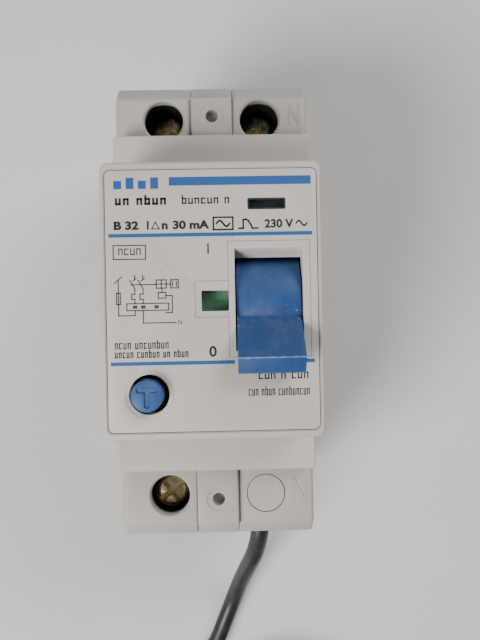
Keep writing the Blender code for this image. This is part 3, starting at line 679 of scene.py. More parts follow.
def coil_tie():
    """A thin black strap round the coil, with its locking head on top."""
    inner, outer = OUTER_TURN - 2 * PITCH - LEAD_R, OUTER_TURN - PITCH / 2 + LEAD_R
    low, high = LOW_LAYER - LEAD_R, LOW_LAYER + STEP_UP + LEAD_R
    middle = ((inner + outer) / 2, (low + high) / 2)
    half = ((outer - inner) / 2, (high - low) / 2)
    ring_out = rounded(half[0] + 0.65, half[1] + 0.65, 2.2, middle)
    ring_in = rounded(half[0] + 0.05, half[1] + 0.05, 1.7, middle)
    bm = bmesh.new()
    sides = []
    for outline in (ring_out, ring_in):
        for across in (-1.3, 1.3):
            sides.append([bm.verts.new((a, across, b)) for a, b in outline])
    count = len(ring_out)
    for k in range(count):
        n = (k + 1) % count
        for one, two in ((0, 1), (1, 3), (3, 2), (2, 0)):
            bm.faces.new((sides[one][k], sides[one][n], sides[two][n], sides[two][k]))
    head = block((middle[0] - 2.2, -2.1, high + 0.4), (middle[0] + 2.2, 2.1, high + 3.0))
    tail = block((middle[0] + 2.0, -1.3, high + 1.0), (middle[0] + 7.5, 1.3, high + 1.6))
    tie = piece("coil_tie", bm)
    tie = shape_with(tie, joins=[head, tail])
    soften(tie, 0.15, 2)
    tie.data.transform(Matrix.Rotation(radians(20), 4, "Z"))
    tie.data.transform(Matrix.Translation((COIL[0] * MM, COIL[1] * MM, 0)))
    return finish_piece(tie, "case", BLACK, "lead_pvc")


def shade_ferrule():
    """The insulated sleeve is black and the crimped pin is tinned copper."""
    made, tree, shader = blank_material("ferrule_sleeve_and_pin")
    where = on_piece(tree)
    along = node(tree, "ShaderNodeSeparateXYZ", None, Vector=where).outputs["X"]
    pin = stepped(tree, along, (FERRULE_HIGH[0] - 8.6) * MM, (FERRULE_HIGH[0] - 8.5) * MM)
    tin = placed(tree, METAL, Colour=(0.66, 0.66, 0.65, 1), Stain=(0.4, 0.39, 0.37, 1), Stained=0.4, Gloss=0.28)
    sleeve = placed(tree, MOULDED, Colour=(0.012, 0.012, 0.013, 1), Shade=(0.03, 0.03, 0.03, 1), Grain=2000.0,
                    Drift=0.4, Gloss_low=0.35, Gloss_high=0.5)
    tree.links.new(mixed(tree, pin, sleeve.outputs["Colour"], tin.outputs["Colour"]), shader.inputs["Base Color"])
    tree.links.new(pin, shader.inputs["Metallic"])
    tree.links.new(tin.outputs["Roughness"], shader.inputs["Roughness"])
    bump(tree, shader, tin.outputs["Height"], 0.000008)
    return made


# --------------------------------------------------------------- case shells

SEAM_X = PAD_HALF + 0.04
RAIL_HALF_LOW, RAIL_HALF_HIGH = 18.3, 16.2
RIVETS = ((27.5, 40.5), (-25.5, 40.5), (27.5, 9.5), (-25.5, 9.5))
PAD_HOLES = ((0.1, 35.65), (0.1, -34.8))
CLOSE_GAP = 0.12
PLUG = ((PLUG_LOW[0] + PLUG_HIGH[0]) / 2, (PLUG_LOW[1] + PLUG_HIGH[1]) / 2)
PLUG_R = (PLUG_HIGH[0] - PLUG_LOW[0]) / 2
RIVET_R, RIVET_HEAD_R = 1.6, 2.6
PAD_HOLE_R, PAD_DISH_R, PAD_DISH_DEPTH = 1.15, 2.1, 0.1
MOUTH_HALF, MOUTH_CORNER, MOUTH_Z = (4.0, 5.0), 1.0, 22.0
FUNNEL_FOOT, FUNNEL_LIP = 43.0, 0.35
CLEAR_OF_CASE = 47.0
BUSH_HOLE_R = 3.5


def screw_place(label):
    """Centre of a terminal screw and the height of its head."""
    low, high = corners_of(f"terminal_screw_{label}")
    return (low[0] + high[0]) / 2, (low[1] + high[1]) / 2, high[2]


def case_outline():
    """Side view of the case with its chamfered ends."""
    return [(-HALF_LENGTH + 3.5, 0.0), (HALF_LENGTH - 3.5, 0.0), (HALF_LENGTH, 6.5),
            (HALF_LENGTH, SHOULDER - (HALF_LENGTH - SHOULDER_ENDS[0])), (SHOULDER_ENDS[0], SHOULDER),
            (SHOULDER_ENDS[1], SHOULDER), (-HALF_LENGTH, SHOULDER - (HALF_LENGTH + SHOULDER_ENDS[1])),
            (-HALF_LENGTH, 6.5)]


def case_room():
    """Side view of the room inside the case, open under the front cover."""
    end, roof = HALF_LENGTH - WALL, SHOULDER - WALL
    high_y, low_y = MIDDLE_Y + BAND_HALF - WALL, MIDDLE_Y - BAND_HALF + WALL
    return [(-end, 7.0), (end, 7.0), (end, roof - 2.4), (end - 2.4, roof), (high_y, roof), (high_y, SHOULDER + 3),
            (low_y, SHOULDER + 3), (low_y, roof), (-end + 2, roof), (-end, roof - 2)]


def rail_recess():
    """Side view of the rail recess with its fixed hook."""
    low, high = MIDDLE_Y - RAIL_HALF_LOW, MIDDLE_Y + RAIL_HALF_HIGH
    return [(low, -1.0), (high, -1.0), (high, 4.0), (high + 1.9, 4.0), (high + 1.9, RAIL_PLANE + 0.15),
            (high - 0.2, RAIL_PLANE + 0.15), (high - 0.2, RAIL_PLANE), (low, RAIL_PLANE)]


def back_cuts():
    """The rail recess and the channel of the rail clip."""
    channel = [(-5, -1), (5, -1), (5, 2.2), (6.5, 2.2), (6.5, 4.6), (-6.5, 4.6), (-6.5, 2.2), (-5, 2.2)]
    return [prism(rail_recess(), -HALF_WIDTH - 1, HALF_WIDTH + 1),
            prism(channel, -HALF_LENGTH - 1, MIDDLE_Y - 15, "Y")]


def washer(centre, inner, outer, lo, hi):
    """A ring with square edges."""
    return turned([(inner, lo), (outer, lo), (outer, hi), (inner, hi)], centre)


def side_ribs(side):
    """Shallow moulded grooves across the outer face of a shell, clear of its resting face."""
    face = side * HALF_WIDTH
    lo, hi = sorted((face - side * 0.25, face + side * 1.0))
    return [block((lo, y - 0.6, 12.0), (hi, y + 0.6, 22.0)) for y in (34.0, 36.0, -36.0, -34.0)]


def case_half(side):
    """One outer shell with rounded outer corners and finely broken seam edges."""
    name = "right_shell" if side > 0 else "left_shell"
    lo, hi = sorted((side * SEAM_X, side * HALF_WIDTH))
    shell = piece(name, prism(case_outline(), lo, hi))

    def width_of(a, b):
        outer = [abs(abs(p[0]) - HALF_WIDTH) < 0.1 for p in (a, b)]
        if min(a[2], b[2]) < 5.0:
            return 0.3
        if all(outer):
            return 0.75
        return 0.5 if any(outer) else 0.35

    soften_by(shell, width_of)
    inner = sorted((side * (SEAM_X - 2), side * (HALF_WIDTH - WALL)))
    cuts = [prism(case_room(), *inner)] + back_cuts() + side_ribs(side)
    for y, z in RIVETS:
        well = [(0, 5.0), (RIVET_R, 5.0), (RIVET_R, 16.8), (RIVET_HEAD_R, 16.8), (RIVET_HEAD_R, 19.0), (0, 19.0)]
        cuts.append(turned([(r, side * h) for r, h in well], (0, y, z), "X"))
    for label, end in TERMINALS:
        x, y, _ = screw_place(label)
        if x * side < 0:
            continue
        low, high = sorted((end * (HALF_LENGTH - 2.5), end * (HALF_LENGTH + 1)))
        cuts.append(prism(rounded(*MOUTH_HALF, MOUTH_CORNER, (x, MOUTH_Z)), low, high, "Y"))
        wide = FUNNEL_R + FUNNEL_LIP
        funnel = [(0, FUNNEL_FOOT), (FUNNEL_R, FUNNEL_FOOT), (FUNNEL_R, SHOULDER - FUNNEL_LIP),
                  (wide, SHOULDER + 0.02), (wide, CLEAR_OF_CASE), (0, CLEAR_OF_CASE)]
        cuts.append(turned(funnel, (x, y, 0)))
    if side > 0:
        cuts.append(rod((*PLUG, 0), PLUG_R + CLOSE_GAP, 42.0, CLEAR_OF_CASE, sides=64))
        cuts.append(rod((EXIT[0], 0, EXIT[2]), BUSH_HOLE_R, -43.0, -39.0, "Y"))
    shape_with(shell, cuts)
    return finish_piece(shell, "case", CASE, "case_plastic", "right_housing" if side > 0 else "left_housing")


def partition():
    """The middle wall with its rim, whose ends are the raised pads."""
    part = piece("centre_wall", prism(case_outline(), -PAD_HALF, PAD_HALF))
    soften_by(part, lambda a, b: 0.25)
    pads = []
    for side, end in zip((1, -1), SHOULDER_ENDS):
        start = MIDDLE_Y + side * (BAND_HALF + 0.25)
        outline = [(start, 44.6), (start, PAD_TOP), (end, PAD_TOP), (end, 44.6)]
        pad = piece("pad", prism(outline, -PAD_HALF, PAD_HALF))
        soften_by(pad, lambda a, b: 0.42 if min(a[2], b[2]) > PAD_TOP - 0.1 else 0.0)
        pads.append(as_shape(pad))
    shape_with(part, joins=pads)
    cuts = [prism(case_room(), -PAD_HALF + 1.3, PAD_HALF + 1),
            block((-PAD_HALF - 1, MIDDLE_Y - BAND_HALF - 0.1, SHOULDER - 0.6),
                  (PAD_HALF + 1, MIDDLE_Y + BAND_HALF + 0.1, SHOULDER + 3))] + back_cuts()
    for x, y in PAD_HOLES:
        flat = PAD_TOP - PAD_DISH_DEPTH
        dish = [(0, PAD_TOP - 2.2), (PAD_HOLE_R, PAD_TOP - 2.2), (PAD_HOLE_R, flat - 0.02), (PAD_HOLE_R + 0.15, flat),
                (PAD_DISH_R, flat), (PAD_DISH_R + 0.15, PAD_TOP + 0.02), (PAD_DISH_R + 0.15, 48.0), (0, 48.0)]
        cuts.append(turned(dish, (x, y, 0)))
    cuts += [rod((0, y, z), RIVET_R, -6.0, 6.0, "X") for y, z in RIVETS]
    shape_with(part, cuts)
    return finish_piece(part, "case", CASE, "case_plastic", "middle_partition")


def blanking_plug():
    """The flat plug in the unused screw hole, flush with its shell."""
    lo, hi, edge = PLUG_LOW[2], PLUG_HIGH[2], 0.12
    profile = [(0, lo), (PLUG_R, lo), (PLUG_R, hi - edge), (PLUG_R - edge, hi), (0, hi)]
    plug = piece("screw_hole_plug", turned(profile, (*PLUG, 0), sides=64))
    return finish_piece(plug, "case", CASE, "case_plastic", "blanking_plug")


# --------------------------------------------------- front cover and its plate

PLATE_HALF = ((PLATE_HIGH[0] - PLATE_LOW[0]) / 2 + 0.06, (PLATE_HIGH[1] - PLATE_LOW[1]) / 2 + 0.06)
DECK_TOP = STATUS_HIGH[2]
DECK_BACK = 58.2
SLOT_X = (HANDLE_LOW[0] - 0.25, HANDLE_HIGH[0] + 0.25)
SLOT_SLOPE = ((57.7, 6.75), (61.5, 8.24))
PANES = ((STATUS_LOW, STATUS_HIGH), (TRIP_LOW, TRIP_HIGH))
WINDOW_LIP = 0.4
BUTTON = ((BUTTON_LOW[0] + BUTTON_HIGH[0]) / 2, (BUTTON_LOW[1] + BUTTON_HIGH[1]) / 2)
BUTTON_R = (BUTTON_HIGH[0] - BUTTON_LOW[0]) / 2
BUTTON_HOLE_R = BUTTON_R + 0.5


def slot_cut(lo, hi):
    """The handle slot with sloping ends, from one height to another."""
    (z0, half0), (z1, half1) = SLOT_SLOPE
    low, high = (half0 + (z - z0) * (half1 - half0) / (z1 - z0) for z in (lo, hi))
    return prism([(MIDDLE_Y - low, lo), (MIDDLE_Y + low, lo), (MIDDLE_Y + high, hi), (MIDDLE_Y - high, hi)], *SLOT_X)


def window_outline(low, high, inset=0.0, radius=0.25):
    """Outline of a window's clear opening, drawn in by an inset."""
    middle = ((low[0] + high[0]) / 2, (low[1] + high[1]) / 2)
    half = [(h - l) / 2 - WINDOW_LIP - inset for l, h in zip(low, high)]
    return rounded(half[0], half[1], radius, middle, 3)


def window_cuts(lo, hi):
    """Openings over both windows, from one height to another."""
    return [prism(window_outline(*pane), lo, hi, "Z") for pane in PANES]


def front_cover():
    """The nose and the band round it, one hollow moulding with soft corners."""
    cover = piece("front_moulding", prism(rounded(HALF_WIDTH, BAND_HALF, 0.7, (0, MIDDLE_Y)), SEAM, BAND_TOP, "Z"))
    soften_by(cover, lambda a, b: 0.5 if min(a[2], b[2]) > BAND_TOP - 0.1 else 0.15)
    nose_outline = rounded(HALF_WIDTH - 0.02, NOSE_HALF, 1.5, (0, MIDDLE_Y), 8)
    nose = piece("nose", prism(nose_outline, BAND_TOP - 1.5, FRONT, "Z"))
    soften_by(nose, lambda a, b: 0.55 if min(a[2], b[2]) > FRONT - 0.1 else 0.0, 4)
    shape_with(cover, joins=[as_shape(nose)])
    recess = rounded(PLATE_HALF[0] + CLOSE_GAP, PLATE_HALF[1] + CLOSE_GAP, 1.0, (0, MIDDLE_Y))
    edge = rounded(PLATE_HALF[0] + CLOSE_GAP + 0.15, PLATE_HALF[1] + CLOSE_GAP + 0.15, 1.1, (0, MIDDLE_Y))
    cuts = [prism(recess, DECK_TOP, FRONT + 1, "Z"), prism(edge, FRONT - 0.12, FRONT + 1, "Z"),
            prism(rounded(HALF_WIDTH - WALL, NOSE_HALF - WALL, 0.6, (0, MIDDLE_Y)), 44, DECK_BACK, "Z"),
            prism(rounded(HALF_WIDTH - WALL, BAND_HALF - WALL, 0.6, (0, MIDDLE_Y)), 44, BAND_TOP - WALL, "Z"),
            slot_cut(DECK_BACK - 0.5, DECK_TOP + 0.5), rod((*BUTTON, 0), BUTTON_HOLE_R, 57, 61)]
    cuts += window_cuts(57.0, 59.0)
    cuts += [block((low[0] - 0.3, low[1] - 0.3, 58.8), (high[0] + 0.3, high[1] + 0.3, 61)) for low, high in PANES]
    cuts.append(block((-HALF_WIDTH - 1, -11.6, 56.5), (-HALF_WIDTH + 0.35, -10.2, FRONT + 1)))
    shape_with(cover, cuts)
    lugs = [block((lo, MIDDLE_Y - 2.6, 49.6), (lo + LUG_WIDTH, MIDDLE_Y + 2.6, DECK_BACK + 0.4)) for lo in LUG_STARTS]
    shape_with(cover, joins=lugs)
    shape_with(cover, [rod((0, MIDDLE_Y, AXLE_Z), AXLE_BORE_R, lo - 1, lo + 2, "X") for lo in LUG_STARTS])
    return finish_piece(cover, "case", NOSE, "front_plastic", "front_cover")


def front_plate():
    """The plate inside the nose's rim, with finely broken edges at every opening."""
    outline = rounded(*PLATE_HALF, 0.9, (0, MIDDLE_Y))
    plate = piece("marking_plate", prism(outline, PLATE_LOW[2], PLATE_TOP, "Z"))
    cuts = [slot_cut(PLATE_LOW[2] - 0.3, PLATE_TOP + 0.3), rod((*BUTTON, 0), BUTTON_HOLE_R, 59, 62, sides=64)]
    shape_with(plate, cuts + window_cuts(59.0, 62.0))
    soften(plate, 0.09, 2, 40)
    ring = washer((*BUTTON, 0), BUTTON_HOLE_R + 0.6, BUTTON_HOLE_R + 0.68, PLATE_TOP - 0.06, PLATE_TOP + 1)
    shape_with(plate, [ring])
    return finish_piece(plate, "case", PLATE, "front_plastic", "front_plate")


def window_frame():
    """The slim black bezel in the trip window."""
    gap, wide = 0.03, 0.22
    outline = window_outline(TRIP_LOW, TRIP_HIGH, gap)
    bezel = piece("trip_window_bezel", prism(outline, DECK_TOP, PLATE_TOP - 0.15, "Z"))
    hole = window_outline(TRIP_LOW, TRIP_HIGH, gap + wide, 0.12)
    shape_with(bezel, [prism(hole, DECK_TOP - 1, PLATE_TOP + 1, "Z")])
    return finish_piece(bezel, "case", BLACK, "dark_plastic")


# ----------------------------------------------------------- printed marking

INK_LOW, INK_HIGH = PLATE_TOP - 0.01, PLATE_TOP + INK_HEIGHT


def flat_mark(bm, corners):
    """Add a thin printed block over four corners."""
    low = [bm.verts.new((x, y, INK_LOW)) for x, y in corners]
    high = [bm.verts.new((x, y, INK_HIGH)) for x, y in corners]
    bm.faces.new(low)
    bm.faces.new(high)
    for k in range(4):
        n = (k + 1) % 4
        bm.faces.new((low[k], low[n], high[n], high[k]))


def bar(bm, x0, y0, x1, y1):
    """Add a flat printed rectangle to a bmesh."""
    flat_mark(bm, ((x0, y0), (x1, y0), (x1, y1), (x0, y1)))


def stroke(bm, points, width, closed=False):
    """Add a printed line through points, one flat bar for each span."""
    ends = list(points) + ([points[0]] if closed else [])
    for (x0, y0), (x1, y1) in zip(ends, ends[1:]):
        length = hypot(x1 - x0, y1 - y0)
        ux, uy = (x1 - x0) / length * width / 2, (y1 - y0) / length * width / 2
        flat_mark(bm, ((x0 - ux + uy, y0 - uy - ux), (x1 + ux + uy, y1 + uy - ux),
                       (x1 + ux - uy, y1 + uy + ux), (x0 - ux - uy, y0 - uy + ux)))


def box_line(bm, x0, y0, x1, y1, width):
    """Add a printed rectangle's outline."""
    stroke(bm, [(x0, y0), (x1, y0), (x1, y1), (x0, y1)], width, True)


def glyphs(text, x0, x1, y0, y1, low, high, weight=0.0):
    """Solid letters that fill a box, from one height to another."""
    font = bpy.data.curves.new("glyphs", "FONT")
    font.body = text
    font.size = 1.0
    font.offset = weight
    font.extrude = 0.5
    font.resolution_u = 4
    holder = link("glyphs", font)
    bpy.context.view_layer.update()
    mesh = bpy.data.meshes.new_from_object(holder.evaluated_get(bpy.context.evaluated_depsgraph_get()))
    bpy.data.objects.remove(holder, do_unlink=True)
    bpy.data.curves.remove(font)
    bm = bmesh.new()
    bm.from_mesh(mesh)
    bpy.data.meshes.remove(mesh)
    spans = [(min(v.co[k] for v in bm.verts), max(v.co[k] for v in bm.verts)) for k in range(3)]
    for v in bm.verts:
        for k, (a, b) in enumerate(((x0, x1), (y0, y1), (low, high))):
            v.co[k] = a + (v.co[k] - spans[k][0]) / (spans[k][1] - spans[k][0]) * (b - a)
    bmesh.ops.remove_doubles(bm, verts=bm.verts, dist=1e-5)
    return bm


def add_to(bm, other):
    """Pour one bmesh into another and free it."""
    mesh = bpy.data.meshes.new("pour")
    other.to_mesh(mesh)
    other.free()
    bm.from_mesh(mesh)
    bpy.data.meshes.remove(mesh)


def lettering(bm, text, x0, x1, y0, y1, weight=0.012):
    """Print generic letters or figures that fill a box."""
    add_to(bm, glyphs(text, x0, x1, y0, y1, INK_LOW, INK_HIGH, weight))


def dummy_words(bm, x0, x1, y0, y1, words, weight=0.17):
    """Print unreadable words: short uprights and cross strokes with gaps between the words."""
    height = (y1 - y0) * 0.66
    base = y0 + (y1 - y0) * 0.2
    step = (x1 - x0) / (sum(words) + 0.7 * (len(words) - 1))
    x = x0
    for w, count in enumerate(words):
        for k in range(count):
            kind = (5 * k + 3 * w + count) % 6
            left, right = x + 0.1 * step, x + 0.84 * step
            bar(bm, left, base, left + weight, base + height * (1.4 if kind == 0 else 1.0))
            if kind != 3:
                bar(bm, right - weight, base, right, base + height)
            if kind in (0, 1, 3, 4):
                bar(bm, left, base + height - weight, right, base + height)
            if kind in (0, 2, 3, 5):
                bar(bm, left, base, right, base + weight)
            x += step
        x += 0.7 * step


def print_piece(name, bm, colour):
    """Turn printed shapes into a piece on the case."""
    return finish_piece(piece(name, bm), "case", colour, "front_plastic")


def blue_print():
    """The blue bar, the two blue rules and a small block of generic blue marks."""
    bm = bmesh.new()
    left, right, gap = -16.3, 16.1, 0.25
    bar(bm, -6.6, 19.55, 16.0, 20.9)
    bar(bm, left, 11.43, right, 12.0)
    bar(bm, left, -8.93, SLOT_X[0] - gap, -8.36)
    bar(bm, SLOT_X[1] + gap, -8.93, right, -8.36)
    for k in range(4):
        bar(bm, -15.4 + 1.95 * k, 19.1, -14.15 + 1.95 * k, 20.4 + 0.5 * (k % 2))
    return print_piece("blue_marks", bm, BLUE_INK)


def wave(centre, half, swing, steps=14):
    """Points of one cycle of a sine."""
    return [(centre[0] - half + 2 * half * k / steps, centre[1] + swing * sin(2 * pi * k / steps))
            for k in range(steps + 1)]


def black_print():
    """Ratings, position figures and small print."""
    bm = bmesh.new()
    dummy_words(bm, -15.3, -6.9, 16.2, 17.9, (2, 4), 0.34)
    dummy_words(bm, -4.7, 3.1, 16.3, 17.8, (6, 1), 0.22)
    row = (12.6, 14.0)
    lettering(bm, "B 32", -15.45, -11.5, *row, 0.05)
    lettering(bm, "I", -10.2, -9.9, *row, 0.03)
    stroke(bm, [(-9.45, 12.72), (-8.85, 13.8), (-8.25, 12.72)], 0.16, True)
    lettering(bm, "n", -7.85, -6.9, row[0], 13.62, 0.045)
    lettering(bm, "30 mA", -6.1, -0.3, *row, 0.045)
    box_line(bm, 0.35, 12.45, 3.45, 14.4, 0.26)
    stroke(bm, wave((1.9, 13.42), 1.05, 0.45), 0.26)
    pulse = [(4.4, 12.6), (5.1, 12.6), (5.1, 13.95), (5.5, 14.05), (5.95, 13.75), (6.3, 13.2), (6.55, 12.6),
             (7.4, 12.6)]
    stroke(bm, pulse, 0.27)
    lettering(bm, "230 V", 8.5, 13.1, *row, 0.034)
    stroke(bm, wave((14.4, 13.3), 0.85, 0.38), 0.22)
    box_line(bm, -15.6, 7.95, -10.5, 10.15, 0.16)
    dummy_words(bm, -14.9, -11.1, 8.3, 9.9, (4,), 0.17)
    lettering(bm, "I", -0.69, -0.45, 8.6, 10.3, 0.012)
    lettering(bm, "0", -0.68, 0.52, -7.78, -6.03, 0.024)
    dummy_words(bm, -15.7, -7.0, -6.6, -5.1, (4, 8))
    dummy_words(bm, -15.7, -3.9, -8.0, -6.6, (5, 6, 2, 4))
    dummy_words(bm, 7.0, 15.2, -11.8, -10.2, (3, 1, 3), 0.2)
    dummy_words(bm, 5.4, 15.3, -14.4, -12.8, (3, 4, 9), 0.15)
    return print_piece("black_marks", bm, BLACK_INK)


def circuit_print():
    """A generic two-pole diagram: contacts, overload hooks, coil, sensing ring and test branch."""
    bm = bmesh.new()
    thin = 0.17
    poles = (-12.3, -11.0)
    stroke(bm, [(-14.9, 4.6), (-14.9, -0.6)], thin)
    box_line(bm, -15.2, 0.8, -14.6, 2.6, thin)
    stroke(bm, [(-15.5, 4.2), (-14.3, 5.2)], thin)
    for x in poles:
        stroke(bm, [(x, 5.4), (x, 4.7)], thin)
        stroke(bm, [(x, 3.3), (x - 0.75, 4.6)], thin)
        stroke(bm, [(x - 0.25, 4.5), (x + 0.25, 4.9)], thin)
        stroke(bm, [(x, 3.3), (x, 2.4)], thin)
        stroke(bm, [(x, 2.4), (x - 0.5, 2.4), (x - 0.5, 1.6), (x, 1.6), (x, 0.9)], thin)
    stroke(bm, [(-12.9, 3.9), (-8.9, 3.9)], thin)
    box_line(bm, -8.9, 3.3, -7.3, 4.6, thin)
    stroke(bm, [(-8.1, 3.3), (-8.1, 4.6)], thin)
    stroke(bm, [(-8.9, 3.95), (-7.3, 3.95)], thin)
    box_line(bm, -6.6, 3.3, -5.4, 4.6, thin)
    stroke(bm, [(-6.3, 3.6), (-6.3, 4.3)], thin)
    stroke(bm, [(-5.7, 3.6), (-5.7, 4.3)], thin)
    stroke(bm, [(-7.3, 3.9), (-6.6, 3.9)], thin)
    box_line(bm, -8.6, 1.7, -7.4, 2.6, thin)
    stroke(bm, [(-8.0, 2.6), (-8.0, 3.3)], thin)
    box_line(bm, -13.6, -0.2, -7.0, 0.9, thin)
    for x in (*poles, -8.9):
        bar(bm, x - 0.35, 0.1, x + 0.35, 0.6)
    stroke(bm, [(-7.4, 2.1), (-6.4, 2.1), (-6.4, -0.6), (-7.4, -0.6)], thin)
    stroke(bm, [(-12.3, -0.2), (-12.3, -1.0), (-14.9, -1.0), (-14.9, -0.6)], thin)
    stroke(bm, [(-11.0, -0.2), (-11.0, -2.2), (-5.9, -2.2)], thin)
    lettering(bm, "N", -5.5, -4.9, -2.5, -1.8, 0.0)
    return print_piece("circuit_marks", bm, GREY_INK)


def frame_lines():
    """Fine moulded lines round the handle slot and the status window."""
    bm = bmesh.new()
    box_line(bm, 2.55, MIDDLE_Y - 9.15, 15.65, MIDDLE_Y + 9.35, 0.05)
    box_line(bm, -2.75, -1.45, 2.55, 4.3, 0.05)
    return print_piece("frame_lines", bm, GREY_INK)


def moulded_letters():
    """The raised N beside each neutral position."""
    bm = bmesh.new()
    for x0, x1, y0, y1 in ((14.35, 16.4, 34.2, 38.0), (13.6, 16.3, -36.1, -31.3)):
        add_to(bm, glyphs("N", x0, x1, y0, y1, SHOULDER - 0.05, SHOULDER + 0.1))
    return finish_piece(piece("moulded_letters", bm), "case", CASE, "case_plastic")


# ------------------------------------------------------ handle, button, screws

PIN_REACH, PIN_ANGLE, PIN_BORE_R = 5.5, -57, 1.1
SPRING_WIRE, SPRING_TURNS, BUTTON_TRAVEL = 0.25, 5, 2.0
T_DEPTH = 0.22
SCREW_PITCH, SHANK_R = 0.8, 2.5
SCREW_TURNS = {"line_in": radians(72), "neutral_in": radians(98), "line_out": radians(38)}


def arc(radius, start, stop, steps, middle=(0.0, 0.0)):
    """Points along an arc, angles in degrees."""
    angles = [radians(start + (stop - start) * k / steps) for k in range(steps + 1)]
    return [(middle[0] + radius * cos(t), middle[1] + radius * sin(t)) for t in angles]


def handle_shell():
    """The blue handle: a round hub that runs into a wedge-shaped lever."""
    y = MIDDLE_Y
    lever = [(y - 5.9, 58.2), (y - 7.6, 61.6), (y - 11.55, 64.35), (y - 11.3, 65.05), (y - 8.95, HANDLE_HIGH[2])]
    outline = lever + list(reversed(arc(HUB_R, 135 - 360, 108.2, 64, (y, AXLE_Z))))
    shell = piece("handle_moulding", prism(outline, HANDLE_LOW[0], HANDLE_HIGH[0]))

    def width_of(a, b):
        across = abs(a[0] - b[0]) > 1.0
        if across:
            return 0.28 if max(a[2], b[2]) > 58.0 and min(a[1], b[1]) < y - 2.0 else 0.0
        return 0.42

    soften_by(shell, width_of, 4)
    pin = arc(PIN_REACH, PIN_ANGLE, PIN_ANGLE, 1, (y, AXLE_Z))[0]
    shape_with(shell, [rod((0, y, AXLE_Z), AXLE_BORE_R, 3, 15, "X"), rod((0, *pin), PIN_BORE_R, 3, 6.6, "X")])
    return finish_piece(shell, "handle", HANDLE_BLUE, "blue_plastic", "toggle_handle")


def button_cap():
    """The round test button, a loose fit in its hole, with a shallow sunk T in its face."""
    top, r = BUTTON_HIGH[2], BUTTON_R - 0.15
    x, y = BUTTON[0] - 0.22, BUTTON[1] - 0.05
    profile = [(0, BUTTON_LOW[2]), (0.9, BUTTON_LOW[2]), (0.9, 57.4), (r, 57.4), (r, top - 0.4),
               (r - 0.12, top - 0.12), (r - 0.35, top), (0, top)]
    cap = piece("test_button_cap", turned(profile, (x, y, 0), sides=72))
    cross = prism(rounded(1.7, 0.46, 0.42, (x, y + 0.95)), top - T_DEPTH, top + 1, "Z")
    stem = prism(rounded(0.46, 1.4, 0.42, (x, y - 0.5)), top - T_DEPTH, top + 1, "Z")
    shape_with(cap, [cross, stem])
    return finish_piece(cap, "button", BUTTON_BLUE, "blue_plastic", "test_button")


def button_spring():
    """The coil spring under the button."""
    low, high = corners_of("test_button_spring")
    wire, radius = SPRING_WIRE, (high[0] - low[0]) / 2 - SPRING_WIRE
    steps, sides = 24, 8
    bm = bmesh.new()
    rings = []
    for k in range(SPRING_TURNS * steps + 1):
        t = 2 * pi * k / steps
        z = low[2] + wire + (high[2] - low[2] - 2 * wire) * k / (SPRING_TURNS * steps)
        ring = []
        for j in range(sides):
            a = 2 * pi * j / sides
            reach = radius + wire * cos(a)
            ring.append(bm.verts.new((BUTTON[0] + reach * cos(t), BUTTON[1] + reach * sin(t), z + wire * sin(a))))
        rings.append(ring)
    for a, b in zip(rings, rings[1:]):
        for j in range(sides):
            n = (j + 1) % sides
            bm.faces.new((a[j], a[n], b[n], b[j]))
    bm.faces.new(rings[0])
    bm.faces.new(rings[-1])
    spring = finish_piece(piece("button_return_spring", bm), "case", STEEL, "steel", "test_button_spring")
    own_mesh(spring)
    return spring


def terminal_screw(label):
    """A domed combination-head screw with a real helical thread."""
    x, y, top = screw_place(label)
    low, high = corners_of(f"terminal_screw_{label}")
    head_r = (high[0] - low[0]) / 2
    under, sides = top - 2.4, 36
    bm = bmesh.new()

    def ring(radius_at, z):
        spokes = [(radius_at(k), 2 * pi * k / sides) for k in range(sides)]
        return [bm.verts.new((x + r * cos(t), y + r * sin(t), z)) for r, t in spokes]

    def thread(z):
        def radius(k):
            phase = ((z - low[2]) / SCREW_PITCH - k / sides) % 1.0
            return SHANK_R - 0.42 * abs(2 * phase - 1)
        return radius

    steps = int((under - low[2] - 0.6) / 0.1)
    rings = [ring(lambda k: SHANK_R - 0.6, low[2])]
    rings += [ring(thread(low[2] + 0.3 + 0.1 * k), low[2] + 0.3 + 0.1 * k) for k in range(steps)]
    head = [(SHANK_R - 0.1, under), (head_r - 0.2, under), (head_r, under + 0.2), (head_r, top - 0.75),
            (head_r - 0.1, top - 0.5), (head_r - 0.4, top - 0.28), (head_r - 1.2, top - 0.08), (head_r - 2.3, top)]
    rings += [ring(lambda k, r=r: r, z) for r, z in head]
    for a, b in zip(rings, rings[1:]):
        for k in range(sides):
            n = (k + 1) % sides
            bm.faces.new((a[k], a[n], b[n], b[k]))
    bm.faces.new(rings[0])
    bm.faces.new(rings[-1])
    screw = piece(f"combination_screw_{label}", bm)
    cross = [block((x - 4, y - 0.55, top - 1.3), (x + 4, y + 0.55, top + 1)),
             block((x - 0.5, y - 2.1, top - 1.5), (x + 0.5, y + 2.1, top + 1))]
    shape_with(screw, cross)
    screw.data.transform(Matrix.Translation((x * MM, y * MM, 0)) @ Matrix.Rotation(SCREW_TURNS[label], 4, "Z")
                         @ Matrix.Translation((-x * MM, -y * MM, 0)))
    return finish_piece(screw, f"screw_{label}", YELLOW_ZINC, "zinc_steel", f"terminal_screw_{label}")


def terminal_well(label):
    """A black collar under a screw hole, put there as painted shade for the hole's inner wall."""
    x, y, _ = screw_place(label)
    # Painted shade: the collar's black plastic darkens what shows down the screw hole.
    collar = washer((x, y, 0), FUNNEL_R + 0.45, FUNNEL_R + 0.95, 33.0, SHOULDER - WALL - 0.05)
    return finish_piece(piece(f"terminal_well_{label}", collar), "case", BLACK, "case_plastic")


